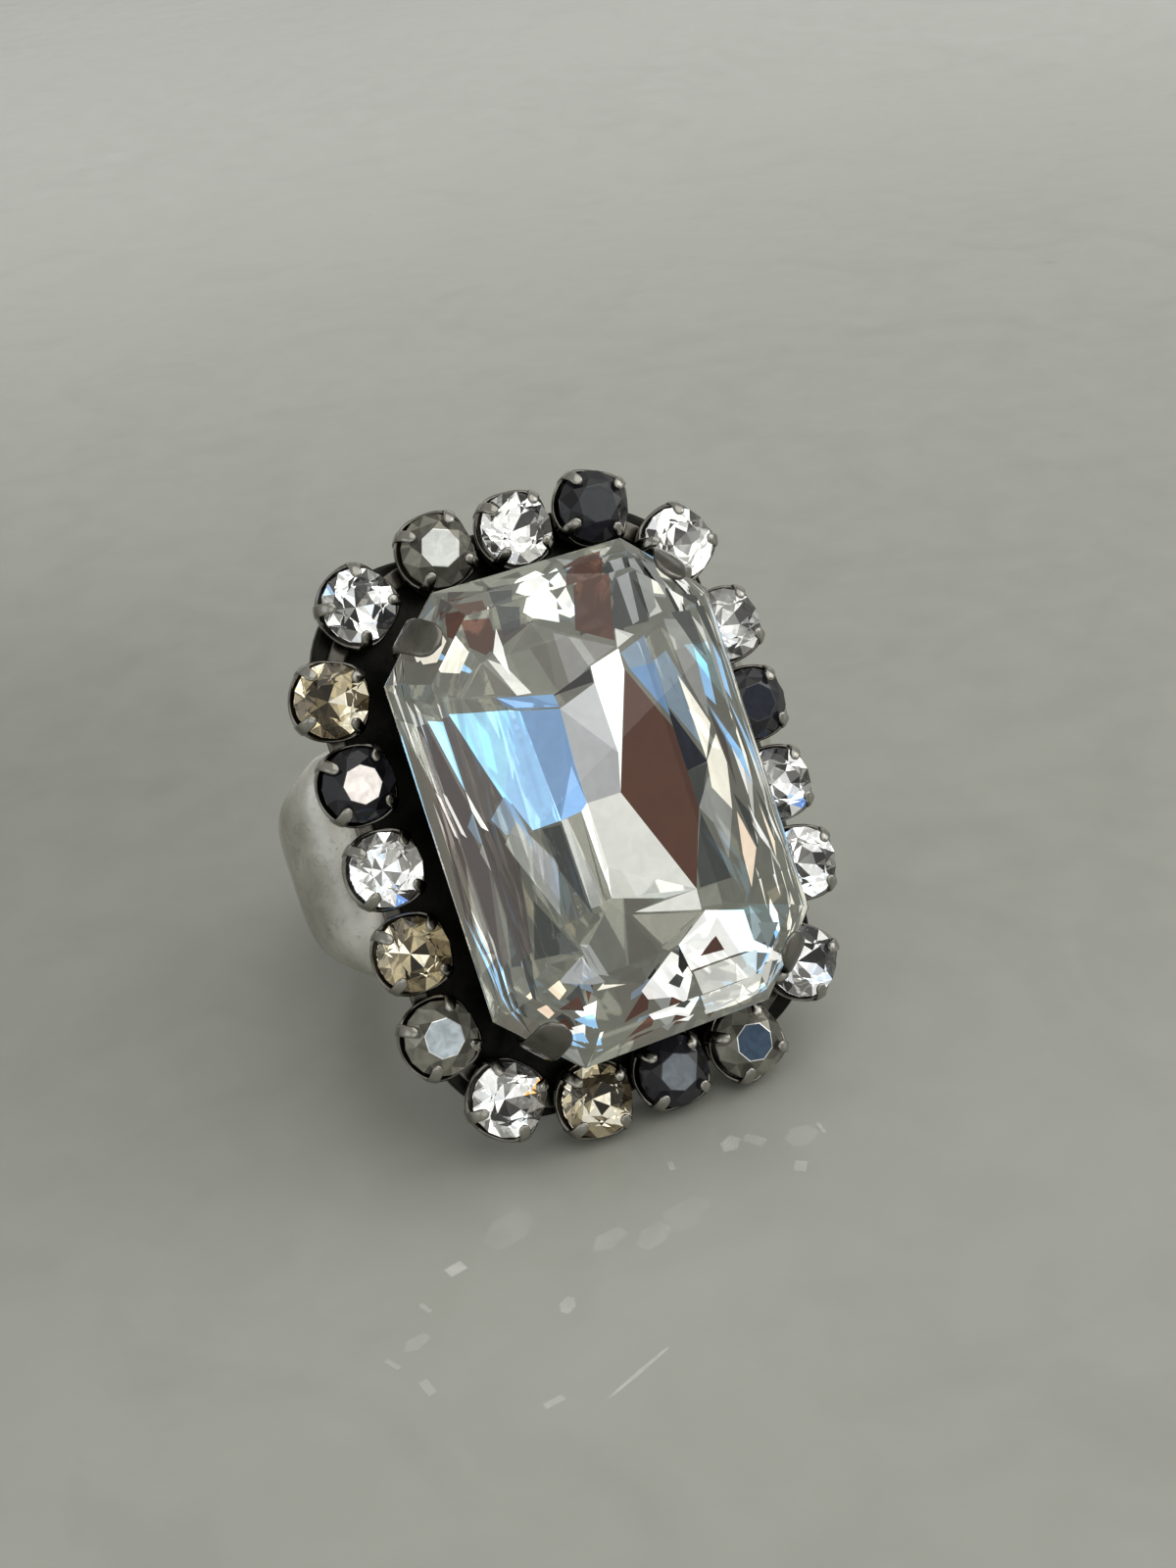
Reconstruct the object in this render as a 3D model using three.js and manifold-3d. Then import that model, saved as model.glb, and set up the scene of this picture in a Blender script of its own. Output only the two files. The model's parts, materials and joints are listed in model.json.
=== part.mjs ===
// A cocktail ring of costume jewellery, in millimetres.
//
// A large octagonal crystal stands in a four-claw setting. A length of cup chain, nineteen small round
// stones in four-prong cups, is laid around it, and both are soldered to a back plate on a wide shank.
//
// The pieces are built in the ring's own upright frame: the finger hole runs along Y and is centred on
// the origin, X goes across the finger and Z goes up through the crystal. At the end the whole ring is
// laid down as it lies on a table, on the lower end of its head and the edge of its shank.

import * as THREE from 'three';
import { ConvexGeometry } from 'three/addons/geometries/ConvexGeometry.js';
import { mergeVertices } from 'three/addons/utils/BufferGeometryUtils.js';
import Module from 'manifold-3d';

const wasm = await Module();
wasm.setup();

// ---------------------------------------------------------------- driving dimensions

// Shank
const fingerRadius = 9.25;
const shankTopWall = 1.6;
const shankBottomWall = 2.1;
const shankSideWall = 3.6;
const shoulderWall = 5.55;
const shoulderDrop = 4.65;
const shoulderRoll = 0.6;
const shankTopOverhang = 1.35;
const shankBottomWaist = 1.4;
const shankWidthAtHead = 12.6;
const shankWidthAtShoulder = 7.8;
const shankWidthAtBottom = 5.6;
const shankShift = 0.5;

// Back plate
const plateThickness = 0.8;
const plateMargin = 0.3;
const plateCornerRadius = 6.0;
const tongueRootShare = 0.7;

// Centre crystal
const crystalWidth = 18.0;
const crystalLength = 25.0;
const crystalCornerCut = 3.75;
const crownHeight = 1.9;
const tableInset = 1.7;
const girdleHeight = 0.3;
const pavilionDepth = 5.1;
const pavilionBreakDepth = 3.1;
const pavilionBreakInset = 4.0;
const keelHalfLength = 3.2;

// Claw setting
const settingWall = 0.45;
const settingBaseInset = 3.4;
const settingRimDrop = 1.0;
const clawRootDrop = 0.6;
const crystalClawWidth = 2.2;
const crystalClawThickness = 0.45;
const crystalClawReach = 1.9;

// Border stones and their cups
const stoneRadius = 1.93;
const stoneTableRadius = 1.06;
const stoneCrownHeight = 0.8;
const stoneGirdleHeight = 0.16;
const stonePavilionDepth = 1.75;
const cupWall = 0.14;
const cupFloor = 0.3;
const cupBaseRadius = 1.35;
const cupShoulderDrop = 1.35;
const cupRimDrop = 0.3;
const prongWidth = 0.62;
const prongThickness = 0.2;
const prongReach = 0.62;
const prongRootDrop = 0.9;
const cupFlare = 0.06;
const cupInnerTaper = 0.1;
const cupFloorFillet = 0.3;
const cupShoulderThickness = 0.15;

// Border layout: four straight rows, and a corner stone that stands out between each two rows
const borderTuck = 0.13;
const borderEndGap = 0.17;
const cupGap = 0.24;
const cornerBulge = 1.65;
const topRowShift = 1.25;
const bottomRowShift = 0.35;

// Chain links
const linkWidth = 1.0;
const linkThickness = 0.3;
const linkLift = 0.2;

// Clearances
const solderGap = 0.05;
const stoneGap = 0.06;
const clawGap = 0.08;
const linkGap = 0.08;
const rimGap = 0.15;
const keelGap = 0.35;
const prongGap = 0.04;

// Facet counts
const lathedSides = 16;
const stoneSides = 16;
const tableSides = 8;

// How far a cutting tool runs past the surface it cuts
const overrun = 0.5;

// ---------------------------------------------------------------- derived levels

const shankTop = fingerRadius + shankTopWall;
const plateBottom = shankTop + solderGap;
const plateTop = plateBottom + plateThickness;
const seat = plateTop + solderGap;
const crystalGirdle = seat + keelGap + pavilionDepth;
const stoneGirdle = seat + cupFloor + stoneGap + stonePavilionDepth;
const cupInnerRadius = stoneRadius + stoneGap;
const cupOuterRadius = cupInnerRadius + cupWall;
const chainPitch = 2 * cupOuterRadius + cupGap;
const borderHalfWidth = crystalWidth / 2 + cupOuterRadius - borderTuck;
const borderHalfLength = crystalLength / 2 + cupOuterRadius + borderEndGap;

const halfGirdle = girdleHeight / 2;
const pavilionRun = pavilionBreakInset / (pavilionBreakDepth - halfGirdle);
const settingRimInset = pavilionRun * (settingRimDrop - halfGirdle) - rimGap - settingWall;

// ---------------------------------------------------------------- finishes

const finish = (color, roughness, metalness, extra = {}) => () =>
  new THREE.MeshStandardMaterial({ color, roughness, metalness, ...extra });

const finishes = {
  silver: finish(0xc9c8c2, 0.42, 0.9),
  cupMetal: finish(0x8f8d86, 0.28, 1.0),
  clear: finish(0xeef3f6, 0.04, 0.0, { transparent: true, opacity: 0.6 }),
  champagne: finish(0xb7a27c, 0.06, 0.0, { transparent: true, opacity: 0.8 }),
  black: finish(0x0b0c0e, 0.12, 0.0),
  hematite: finish(0x6f7270, 0.15, 0.9),
};

// ---------------------------------------------------------------- solids

// Turns a closed geometry into a manifold solid, dropping the flat triangles at a lathe's poles.
function toSolid(geometry) {
  const bare = geometry.clone();
  bare.deleteAttribute('normal');
  bare.deleteAttribute('uv');
  const merged = mergeVertices(bare, 1e-4);
  const index = merged.index.array;
  const kept = [];
  for (let i = 0; i < index.length; i += 3) {
    const [a, b, c] = index.slice(i, i + 3);
    if (a !== b && b !== c && c !== a) kept.push(a, b, c);
  }
  const vertProperties = new Float32Array(merged.attributes.position.array);
  return new wasm.Manifold(new wasm.Mesh({ numProp: 3, vertProperties, triVerts: new Uint32Array(kept) }));
}

function toGeometry(solid) {
  const { vertProperties, triVerts, numProp } = solid.getMesh();
  const geometry = new THREE.BufferGeometry();
  const positions = new Float32Array((vertProperties.length / numProp) * 3);
  for (let i = 0; i < positions.length / 3; i += 1) {
    positions.set(vertProperties.slice(i * numProp, i * numProp + 3), i * 3);
  }
  geometry.setAttribute('position', new THREE.BufferAttribute(positions, 3));
  geometry.setIndex(new THREE.BufferAttribute(new Uint32Array(triVerts), 1));
  return geometry;
}

function join(geometries) {
  return toGeometry(geometries.map(toSolid).reduce((whole, piece) => whole.add(piece)));
}

function piece(name, geometry, material) {
  const mesh = new THREE.Mesh(geometry, material());
  mesh.name = name;
  return mesh;
}

// ---------------------------------------------------------------- outlines

// The eight corners of a rectangle with its corners cut at 45 degrees, moved inwards by inset.
function cutRectangle(width, length, cornerCut, inset) {
  const halfWidth = width / 2 - inset;
  const halfLength = length / 2 - inset;
  const cut = cornerCut - inset * (2 - Math.SQRT2);
  const quarter = [[halfWidth, halfLength - cut], [halfWidth - cut, halfLength]];
  const corners = [...quarter];
  corners.push(...quarter.toReversed().map(([x, y]) => [-x, y]));
  corners.push(...quarter.map(([x, y]) => [-x, -y]));
  corners.push(...quarter.toReversed().map(([x, y]) => [x, -y]));
  return corners.map(([x, y]) => new THREE.Vector2(x, y));
}

function crystalOutline(inset) {
  return cutRectangle(crystalWidth, crystalLength, crystalCornerCut, inset);
}

function roundedRectangle(halfWidth, halfLength, radius) {
  const path = new THREE.Shape();
  path.moveTo(halfWidth, -halfLength + radius);
  path.lineTo(halfWidth, halfLength - radius);
  path.absarc(halfWidth - radius, halfLength - radius, radius, 0, Math.PI / 2);
  path.lineTo(-halfWidth + radius, halfLength);
  path.absarc(-halfWidth + radius, halfLength - radius, radius, Math.PI / 2, Math.PI);
  path.lineTo(-halfWidth, -halfLength + radius);
  path.absarc(-halfWidth + radius, -halfLength + radius, radius, Math.PI, Math.PI * 1.5);
  path.lineTo(halfWidth - radius, -halfLength);
  path.absarc(halfWidth - radius, -halfLength + radius, radius, Math.PI * 1.5, Math.PI * 2);
  return path;
}

// Points of one horizontal outline, at a height.
function level(outline, z) {
  return outline.map(({ x, y }) => new THREE.Vector3(x, y, z));
}

function regularOutline(radius, sides) {
  return Array.from({ length: sides }, (_, i) => {
    const angle = ((i + 0.5) / sides) * Math.PI * 2;
    return new THREE.Vector2(radius * Math.cos(angle), radius * Math.sin(angle));
  });
}

// ---------------------------------------------------------------- shank

// The front view of the band is cut by its side view, which narrows from the head to the bottom.
function shankGeometry() {
  const bottom = -fingerRadius - shankBottomWall;
  const side = fingerRadius + shankSideWall;
  const reach = fingerRadius + shoulderWall;
  const shoulderHeight = shankTop - shoulderDrop;
  const topHalf = fingerRadius + shankTopOverhang;
  const rolled = shankTop - shoulderRoll;
  const waist = side - shankBottomWaist;
  const [footHalf, footRise] = [side * 0.56, bottom * 0.62];

  const front = new THREE.Shape();
  front.moveTo(-topHalf, shankTop);
  front.bezierCurveTo(-reach, rolled, -reach, shoulderHeight, -side, 0);
  front.bezierCurveTo(-waist, footRise, -footHalf, bottom, 0, bottom);
  front.bezierCurveTo(footHalf, bottom, waist, footRise, side, 0);
  front.bezierCurveTo(reach, shoulderHeight, reach, rolled, topHalf, shankTop);
  front.lineTo(-topHalf, shankTop);
  front.holes.push(new THREE.Path().absarc(0, 0, fingerRadius, 0, Math.PI * 2));
  const band = new THREE.ExtrudeGeometry(front, {
    depth: shankWidthAtHead, bevelEnabled: false, curveSegments: 12,
  });
  band.rotateX(Math.PI / 2);
  band.translate(0, shankWidthAtHead / 2, 0);

  const headHalf = shankWidthAtHead / 2;
  const shoulderHalf = shankWidthAtShoulder / 2;
  const bottomHalf = shankWidthAtBottom / 2;
  const straight = shankTop - overrun * 2;
  const flank = new THREE.Shape();
  flank.moveTo(-headHalf, shankTop + overrun);
  flank.lineTo(-headHalf, straight);
  flank.bezierCurveTo(-shoulderHalf, shoulderHeight, -shoulderHalf, 0, -bottomHalf, bottom - overrun);
  flank.lineTo(bottomHalf, bottom - overrun);
  flank.bezierCurveTo(shoulderHalf, 0, shoulderHalf, shoulderHeight, headHalf, straight);
  flank.lineTo(headHalf, shankTop + overrun);
  const envelope = new THREE.ExtrudeGeometry(flank, {
    depth: (reach + overrun) * 2, bevelEnabled: false, curveSegments: 10,
  });
  // The side view's x becomes the ring's y, its y the ring's z and its depth the ring's x.
  const axes = [[0, 1, 0], [0, 0, 1], [1, 0, 0]].map((axis) => new THREE.Vector3(...axis));
  envelope.applyMatrix4(new THREE.Matrix4().makeBasis(...axes));
  envelope.translate(-reach - overrun, 0, 0);
  const shank = toGeometry(toSolid(band).intersect(toSolid(envelope)));
  return shank.translate(0, shankShift, 0);
}

// ---------------------------------------------------------------- back plate

// A rounded rectangle that also reaches out under the feet of the corner cups.
function plateGeometry(corners) {
  const outline = roundedRectangle(
    borderHalfWidth + plateMargin, borderHalfLength + plateMargin, plateCornerRadius,
  );
  const plate = new THREE.ExtrudeGeometry(outline, {
    depth: plateThickness, bevelEnabled: false, curveSegments: 5,
  });
  plate.translate(0, 0, plateBottom);
  const tongues = corners.map(({ place }) => {
    const discs = [place, place.clone().multiplyScalar(tongueRootShare)].flatMap((middle) => (
      Array.from({ length: lathedSides }, (_, k) => {
        const turn = (2 * Math.PI * k) / lathedSides;
        return new THREE.Vector2(Math.cos(turn), Math.sin(turn)).multiplyScalar(cupBaseRadius).add(middle);
      })
    ));
    return new ConvexGeometry([...level(discs, plateBottom), ...level(discs, plateTop)]);
  });
  return join([plate, ...tongues]);
}

// ---------------------------------------------------------------- centre crystal

function crystalGeometry() {
  const points = [
    ...level(crystalOutline(tableInset), crystalGirdle + halfGirdle + crownHeight),
    ...level(crystalOutline(0), crystalGirdle + halfGirdle),
    ...level(crystalOutline(0), crystalGirdle - halfGirdle),
    ...level(crystalOutline(pavilionBreakInset), crystalGirdle - pavilionBreakDepth),
    new THREE.Vector3(0, keelHalfLength, crystalGirdle - pavilionDepth),
    new THREE.Vector3(0, -keelHalfLength, crystalGirdle - pavilionDepth),
  ];
  return new ConvexGeometry(points);
}

// ---------------------------------------------------------------- claws

// A claw seen from its side: r is the distance out from a stone's girdle and z the height over the
// girdle. It rises past the girdle and lies along the crown, whose slope is crownSlope.
function clawProfile({ root, rootDrop, top, gap, thickness, reach, crownSlope }) {
  const angle = Math.atan(crownSlope);
  const half = angle / 2;
  const bend = top + gap * Math.tan(half);
  const outerBend = top + (gap + thickness) * Math.tan(half);
  const run = reach * Math.cos(angle);
  const rise = reach * Math.sin(angle);
  const straight = -rootDrop / 4;
  const profile = new THREE.Shape();
  profile.moveTo(root, -rootDrop);
  profile.lineTo(root + thickness, -rootDrop);
  profile.lineTo(gap + thickness, straight);
  profile.lineTo(gap + thickness, outerBend);
  profile.lineTo(gap - run + thickness * Math.sin(angle), bend + rise + thickness * Math.cos(angle));
  profile.lineTo(gap - run, bend + rise);
  profile.lineTo(gap, bend);
  profile.lineTo(gap, straight);
  return profile;
}

// Extrudes a claw's side view to its width and stands it at a place, facing out along an angle.
function clawGeometry(profile, width, distance, angle, height) {
  const claw = new THREE.ExtrudeGeometry(profile, { depth: width, bevelEnabled: false });
  claw.translate(0, 0, -width / 2);
  claw.rotateX(Math.PI / 2);
  claw.translate(distance, 0, height);
  claw.rotateZ(angle);
  return claw;
}

// ---------------------------------------------------------------- claw setting

// A hollow frame between two octagons, joined to four claws on its cut corners.
function settingGeometry() {
  const rim = crystalGirdle - settingRimDrop;
  const slope = (settingBaseInset - settingRimInset) / (rim - seat);
  const frustum = (wall, past) => toSolid(new ConvexGeometry([
    ...level(crystalOutline(settingBaseInset + wall + slope * past), seat - past),
    ...level(crystalOutline(settingRimInset + wall - slope * past), rim + past),
  ]));
  let solid = frustum(0, 0).subtract(frustum(settingWall, overrun));

  const cutMiddle = new THREE.Vector2(
    (crystalWidth - crystalCornerCut) / 2, (crystalLength - crystalCornerCut) / 2,
  );
  const profile = clawProfile({
    root: -settingRimInset - slope * clawRootDrop - settingWall / 2,
    rootDrop: settingRimDrop + clawRootDrop,
    top: halfGirdle,
    gap: clawGap,
    thickness: crystalClawThickness,
    reach: crystalClawReach,
    crownSlope: crownHeight / tableInset,
  });
  for (const [sx, sy] of [[1, 1], [-1, 1], [-1, -1], [1, -1]]) {
    const claw = clawGeometry(profile, crystalClawWidth, 0, Math.atan2(sy, sx), crystalGirdle);
    claw.translate(sx * cutMiddle.x, sy * cutMiddle.y, 0);
    solid = solid.add(toSolid(claw));
  }
  return toGeometry(solid);
}

// ---------------------------------------------------------------- border stones and cups

function stoneGeometry() {
  const half = stoneGirdleHeight / 2;
  const turned = regularOutline(stoneTableRadius, tableSides);
  return new ConvexGeometry([
    ...level(turned, half + stoneCrownHeight),
    ...level(regularOutline(stoneRadius, stoneSides), half),
    ...level(regularOutline(stoneRadius, stoneSides), -half),
    new THREE.Vector3(0, 0, -stonePavilionDepth),
  ]);
}

// A small bowl on a flat foot with four prongs, its stone's girdle at height 0. The chain runs along
// its x, so the prongs stand on the diagonals.
function cupGeometry() {
  const foot = -(stonePavilionDepth + stoneGap + cupFloor);
  const floor = foot + cupFloor;
  const shoulder = -cupShoulderDrop;
  const profile = [
    [0, foot],
    [cupBaseRadius, foot],
    [cupOuterRadius - cupFlare, shoulder],
    [cupOuterRadius, -cupRimDrop],
    [cupInnerRadius, -cupRimDrop],
    [cupInnerRadius - cupInnerTaper, shoulder + cupShoulderThickness],
    [cupBaseRadius - cupFloorFillet, floor],
    [0, floor],
  ].map(([r, z]) => new THREE.Vector2(r, z));
  const bowl = new THREE.LatheGeometry(profile, lathedSides);
  bowl.rotateX(Math.PI / 2);
  bowl.rotateZ(Math.PI / lathedSides);
  const prong = clawProfile({
    root: prongGap,
    rootDrop: prongRootDrop,
    top: stoneGirdleHeight / 2,
    gap: stoneGap,
    thickness: prongThickness,
    reach: prongReach,
    crownSlope: stoneCrownHeight / (stoneRadius - stoneTableRadius),
  });
  const prongs = [1, 3, 5, 7].map((eighth) =>
    clawGeometry(prong, prongWidth, stoneRadius, (eighth * Math.PI) / 4, 0));
  return join([bowl, ...prongs]);
}

// ---------------------------------------------------------------- border layout

// A straight row of stones: count, the middle's offset along the row, and the row's own direction,
// all going clockwise when seen from above.
const rows = {
  top: {
    finishes: ['hematite', 'clear', 'black'],
    middle: [topRowShift, borderHalfLength],
    along: [1, 0],
  },
  right: {
    finishes: ['clear', 'black', 'clear', 'clear'],
    middle: [borderHalfWidth, 0],
    along: [0, -1],
  },
  bottom: {
    finishes: ['hematite', 'black', 'champagne'],
    middle: [bottomRowShift, -borderHalfLength],
    along: [-1, 0],
  },
  left: {
    finishes: ['hematite', 'champagne', 'clear', 'black', 'champagne'],
    middle: [-borderHalfWidth, 0],
    along: [0, 1],
  },
};

function rowStations(side) {
  const { finishes: row, middle, along } = rows[side];
  return row.map((kind, i) => {
    const step = (i - (row.length - 1) / 2) * chainPitch;
    const place = new THREE.Vector2(middle[0] + along[0] * step, middle[1] + along[1] * step);
    return { name: `${side}_${i + 1}`, kind, place };
  });
}

// A corner stone stands out from the middle of the line between its neighbours, by the bulge or by as
// much as it takes to stay one pitch away from both.
function cornerStation(name, before, after) {
  const line = after.place.clone().sub(before.place);
  const outwards = new THREE.Vector2(-line.y, line.x).normalize();
  const place = before.place.clone().add(after.place).multiplyScalar(0.5);
  const clear = Math.sqrt(Math.max(0, chainPitch ** 2 - (line.length() / 2) ** 2));
  place.addScaledVector(outwards, Math.max(cornerBulge, clear));
  return { name, kind: 'clear', place, corner: true };
}

function borderStations() {
  const [top, right, bottom, left] = ['top', 'right', 'bottom', 'left'].map(rowStations);
  return [
    ...top, cornerStation('top_right', top.at(-1), right[0]),
    ...right, cornerStation('bottom_right', right.at(-1), bottom[0]),
    ...bottom, cornerStation('bottom_left', bottom.at(-1), left[0]),
    ...left, cornerStation('top_left', left.at(-1), top[0]),
  ];
}

// ---------------------------------------------------------------- chain links

// A flat bar between two cups, low down where their bowls narrow to the foot.
function linkGeometry(distance) {
  const rise = linkLift + linkThickness;
  const bowlSlope = (cupOuterRadius - cupBaseRadius) / (stoneGirdle - cupShoulderDrop - seat);
  const bowlRadius = Math.min(cupOuterRadius, cupBaseRadius + bowlSlope * rise);
  const bar = new THREE.BoxGeometry(distance - 2 * (bowlRadius + linkGap), linkWidth, linkThickness);
  return bar.translate(0, 0, linkLift + linkThickness / 2);
}

// ---------------------------------------------------------------- assembly

const ring = new THREE.Group();
const shank = piece('shank', shankGeometry(), finishes.silver);
ring.add(shank);
const head = new THREE.Group();
ring.add(head);
const stations = borderStations();
const count = stations.length;
head.add(piece('back_plate', plateGeometry(stations.filter(({ corner }) => corner)), finishes.silver));
head.add(piece('claw_setting', settingGeometry(), finishes.cupMetal));
head.add(piece('centre_crystal', crystalGeometry(), finishes.clear));

stations.forEach(({ name, kind, place }, i) => {
  const before = stations[(i + count - 1) % count].place;
  const after = stations[(i + 1) % count].place;
  const along = after.clone().sub(before).angle();
  const cup = piece(`cup_${name}`, cupGeometry(), finishes.cupMetal);
  const stone = piece(`stone_${name}`, stoneGeometry(), finishes[kind]);
  for (const mesh of [cup, stone]) {
    mesh.position.set(place.x, place.y, stoneGirdle);
    mesh.rotation.z = along;
    head.add(mesh);
  }
});

// The chain's two ends meet before the bottom right corner, where there is no link.
const chainEnd = stations.findIndex(({ name }) => name === 'bottom_right') - 1;
let linkNumber = 0;
stations.forEach(({ place }, i) => {
  if (i === chainEnd) return;
  const next = stations[(i + 1) % count].place;
  const step = next.clone().sub(place);
  linkNumber += 1;
  const link = piece(`link_${linkNumber}`, linkGeometry(step.length()), finishes.cupMetal);
  link.position.set((place.x + next.x) / 2, (place.y + next.y) / 2, seat);
  link.rotation.z = step.angle();
  head.add(link);
});

// ---------------------------------------------------------------- lying on a table

// The lowest height of a group of pieces once the ring leans about X by an angle.
function lowest(group, lean) {
  ring.rotation.x = lean;
  ring.updateMatrixWorld(true);
  return new THREE.Box3().setFromObject(group, true).min.z;
}

// The ring leans forward until the head's lower end and the shank's edge touch the table together.
let upright = 0;
let facingDown = Math.PI / 2;
for (let i = 0; i < 40; i += 1) {
  const lean = (upright + facingDown) / 2;
  if (lowest(head, lean) > lowest(shank, lean)) upright = lean;
  else facingDown = lean;
}
ring.rotation.x = upright;
ring.updateMatrixWorld(true);

const lying = new THREE.Box3().setFromObject(ring, true);
const middle = lying.getCenter(new THREE.Vector3());
ring.position.set(-middle.x, -middle.y, -lying.min.z);

const part = new THREE.Group();
part.add(ring);
export default part;
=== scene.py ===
# %% [markdown]
# # A cocktail ring, lying on a table
#
# This notebook dresses a ring of costume jewellery in Blender. The engineering model gives every piece's
# place and size; here each piece gets the shape and the finish that the eye expects: a big foiled crystal,
# a border of small stones in little cups, and a satin silver shank.

# %% Load the frame
import json
import math

import bmesh
import bpy
import numpy as np
from mathutils import Matrix, Vector
from mathutils.geometry import delaunay_2d_cdt


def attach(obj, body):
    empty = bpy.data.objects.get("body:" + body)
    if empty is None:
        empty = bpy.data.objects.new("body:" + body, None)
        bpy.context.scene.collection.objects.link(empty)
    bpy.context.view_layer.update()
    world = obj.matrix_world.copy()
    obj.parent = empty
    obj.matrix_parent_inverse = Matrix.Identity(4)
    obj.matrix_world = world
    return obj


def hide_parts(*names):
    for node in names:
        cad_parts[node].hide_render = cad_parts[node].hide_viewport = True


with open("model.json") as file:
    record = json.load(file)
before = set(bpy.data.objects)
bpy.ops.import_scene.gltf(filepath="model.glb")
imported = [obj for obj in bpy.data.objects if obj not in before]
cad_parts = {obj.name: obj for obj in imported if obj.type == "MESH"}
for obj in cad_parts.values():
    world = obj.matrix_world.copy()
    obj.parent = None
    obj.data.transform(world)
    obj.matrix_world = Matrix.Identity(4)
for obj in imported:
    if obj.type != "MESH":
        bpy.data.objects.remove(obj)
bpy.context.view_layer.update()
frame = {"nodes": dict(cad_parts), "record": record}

# %% [markdown]
# ## The ring's own frame
#
# A ring is easiest to think of standing upright: the finger goes through along y, x goes across the
# finger and z goes up through the crystal. On the table the ring leans on its side, so every shape is
# worked out upright, in millimetres, and then carried to its place in the room. The crystal's flat top,
# which the record gives as a mount, says where up is.

# %% From the ring's frame to the room
MM = 0.001
TABLE_LEVEL = 19.25

mount = frame["record"]["mounts"][0]
through = np.array(mount["axis"], float)
across = np.array([1.0, 0.0, 0.0])
BASIS = np.array([across, np.cross(through, across), through])
ORIGIN = np.array(mount["pos_m"], float) - through * TABLE_LEVEL * MM


def to_room(points):
    """Millimetres in the ring's frame to metres in the room: three axes, then the finger hole's centre."""
    return ORIGIN + (np.asarray(points, float) * MM) @ BASIS


def to_ring(points):
    """Metres in the room back to millimetres in the ring's frame."""
    return ((np.asarray(points, float) - ORIGIN) @ BASIS.T) / MM


def node_box(node):
    """The lowest and highest corner of an engineering node, measured in the ring's frame."""
    mesh = frame["nodes"][node].data
    points = np.zeros(len(mesh.vertices) * 3)
    mesh.vertices.foreach_get("co", points)
    ring_points = to_ring(points.reshape(-1, 3))
    return ring_points.min(0), ring_points.max(0)


for node in ("shank", "back_plate", "centre_crystal"):
    print(node, *(corner.round(2) for corner in node_box(node)))

# %% [markdown]
# ## Surfaces on a grid
#
# Nearly every piece is a sheet of points in rows and columns that closes on itself. One helper numbers
# the faces between neighbouring rows and columns, and another puts arrays into a Blender mesh. Where a
# row shrinks to a pole, its points are welded into one, so no seam stays open. Cut stones aren't welded,
# because their facets are listed corner by corner.

# %% Grids and meshes
WELD_DISTANCE = 0.002


def grid_faces(rows, columns, wrap_rows=False):
    """Quads between row i and i + 1, and column j and j + 1, where the last column meets the first."""
    i = np.arange(rows if wrap_rows else rows - 1)[:, None]
    j = np.arange(columns)[None, :]
    following, beside = (i + 1) % rows, (j + 1) % columns
    quads = [i * columns + j, i * columns + beside, following * columns + beside, following * columns + j]
    return np.stack([q + np.zeros((len(i), columns), int) for q in quads], -1).reshape(-1, 4)


def link_object(name, data):
    """A new object in the scene that holds this mesh, lamp or camera."""
    made = bpy.data.objects.new(name, data)
    bpy.context.scene.collection.objects.link(made)
    return made


def mesh_object(name, points, faces, *finishes):
    """A mesh object whose points are metres in the room, with its finishes in order."""
    mesh = bpy.data.meshes.new(name)
    mesh.from_pydata(points.tolist(), [], [list(map(int, face)) for face in faces])
    for finish in finishes:
        mesh.materials.append(finish)
    return link_object(name, mesh)


def make_piece(name, points, faces, *finishes, smooth=True, weld=True):
    """A piece at the origin whose place is in its points, given in the ring's millimetres."""
    piece = mesh_object(name, to_room(points), faces, *finishes)
    mesh = piece.data
    if weld:
        work = bmesh.new()
        work.from_mesh(mesh)
        bmesh.ops.remove_doubles(work, verts=work.verts, dist=WELD_DISTANCE * MM)
        bmesh.ops.recalc_face_normals(work, faces=work.faces)
        work.to_mesh(mesh)
        work.free()
    mesh.polygons.foreach_set("use_smooth", np.full(len(mesh.polygons), smooth))
    mesh.update()
    return piece


def settle(piece, slot, *nodes):
    """Every piece rides with the ring and stands for its engineering nodes; its slot is not used."""
    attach(piece, "root")
    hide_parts(*nodes)


def merge(parts):
    """Several (points, faces) pairs as one pair, each part's faces counted on from the last."""
    starts = np.cumsum([0] + [len(points) for points, _ in parts])
    faces = [[int(v + start) for v in face] for (_, part), start in zip(parts, starts) for face in part]
    return np.concatenate([points for points, _ in parts]), faces


def facets(*corners):
    """One face for each place in the arrays of corner numbers; a single number serves them all."""
    return np.column_stack(np.broadcast_arrays(*corners)).tolist()


def turned(points, angle):
    """The same points, flat or solid, turned anticlockwise about z."""
    c, s = math.cos(angle), math.sin(angle)
    return np.column_stack([points[:, :2] @ np.array([[c, s], [-s, c]]), points[:, 2:]])


def signed_power(values, power):
    """Each value's size raised to a power, with its sign kept. A power below one squares a circle."""
    return np.sign(values) * np.abs(values) ** power


# %% [markdown]
# ## Metal
#
# The shank is satin silver-coloured plating with cloudy wear. The cups and claws are the same metal gone
# dark, and the cups' fingers and edges are paler, partly worn by cloth and hands and partly as a painted
# highlight where light catches them. The plate behind them is painted nearly black as shade. All three are
# one recipe: a metallic surface whose colour and roughness wander with noise, with scuffs, specks and a
# fine grain in the bump, and an attribute called rub that says where the metal is paler, from wear and
# from painted highlight.

# %% The recipe for metal
SCUFF_TONE, SPECK_TONE = 0.6, 0.45
GRAIN_DEPTH = 0.03 * MM


def new_material(name):
    """A fresh material, its tree of nodes and its shader."""
    material = bpy.data.materials.new(name)
    material.use_nodes = True
    return material, material.node_tree, material.node_tree.nodes["Principled BSDF"]


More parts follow.
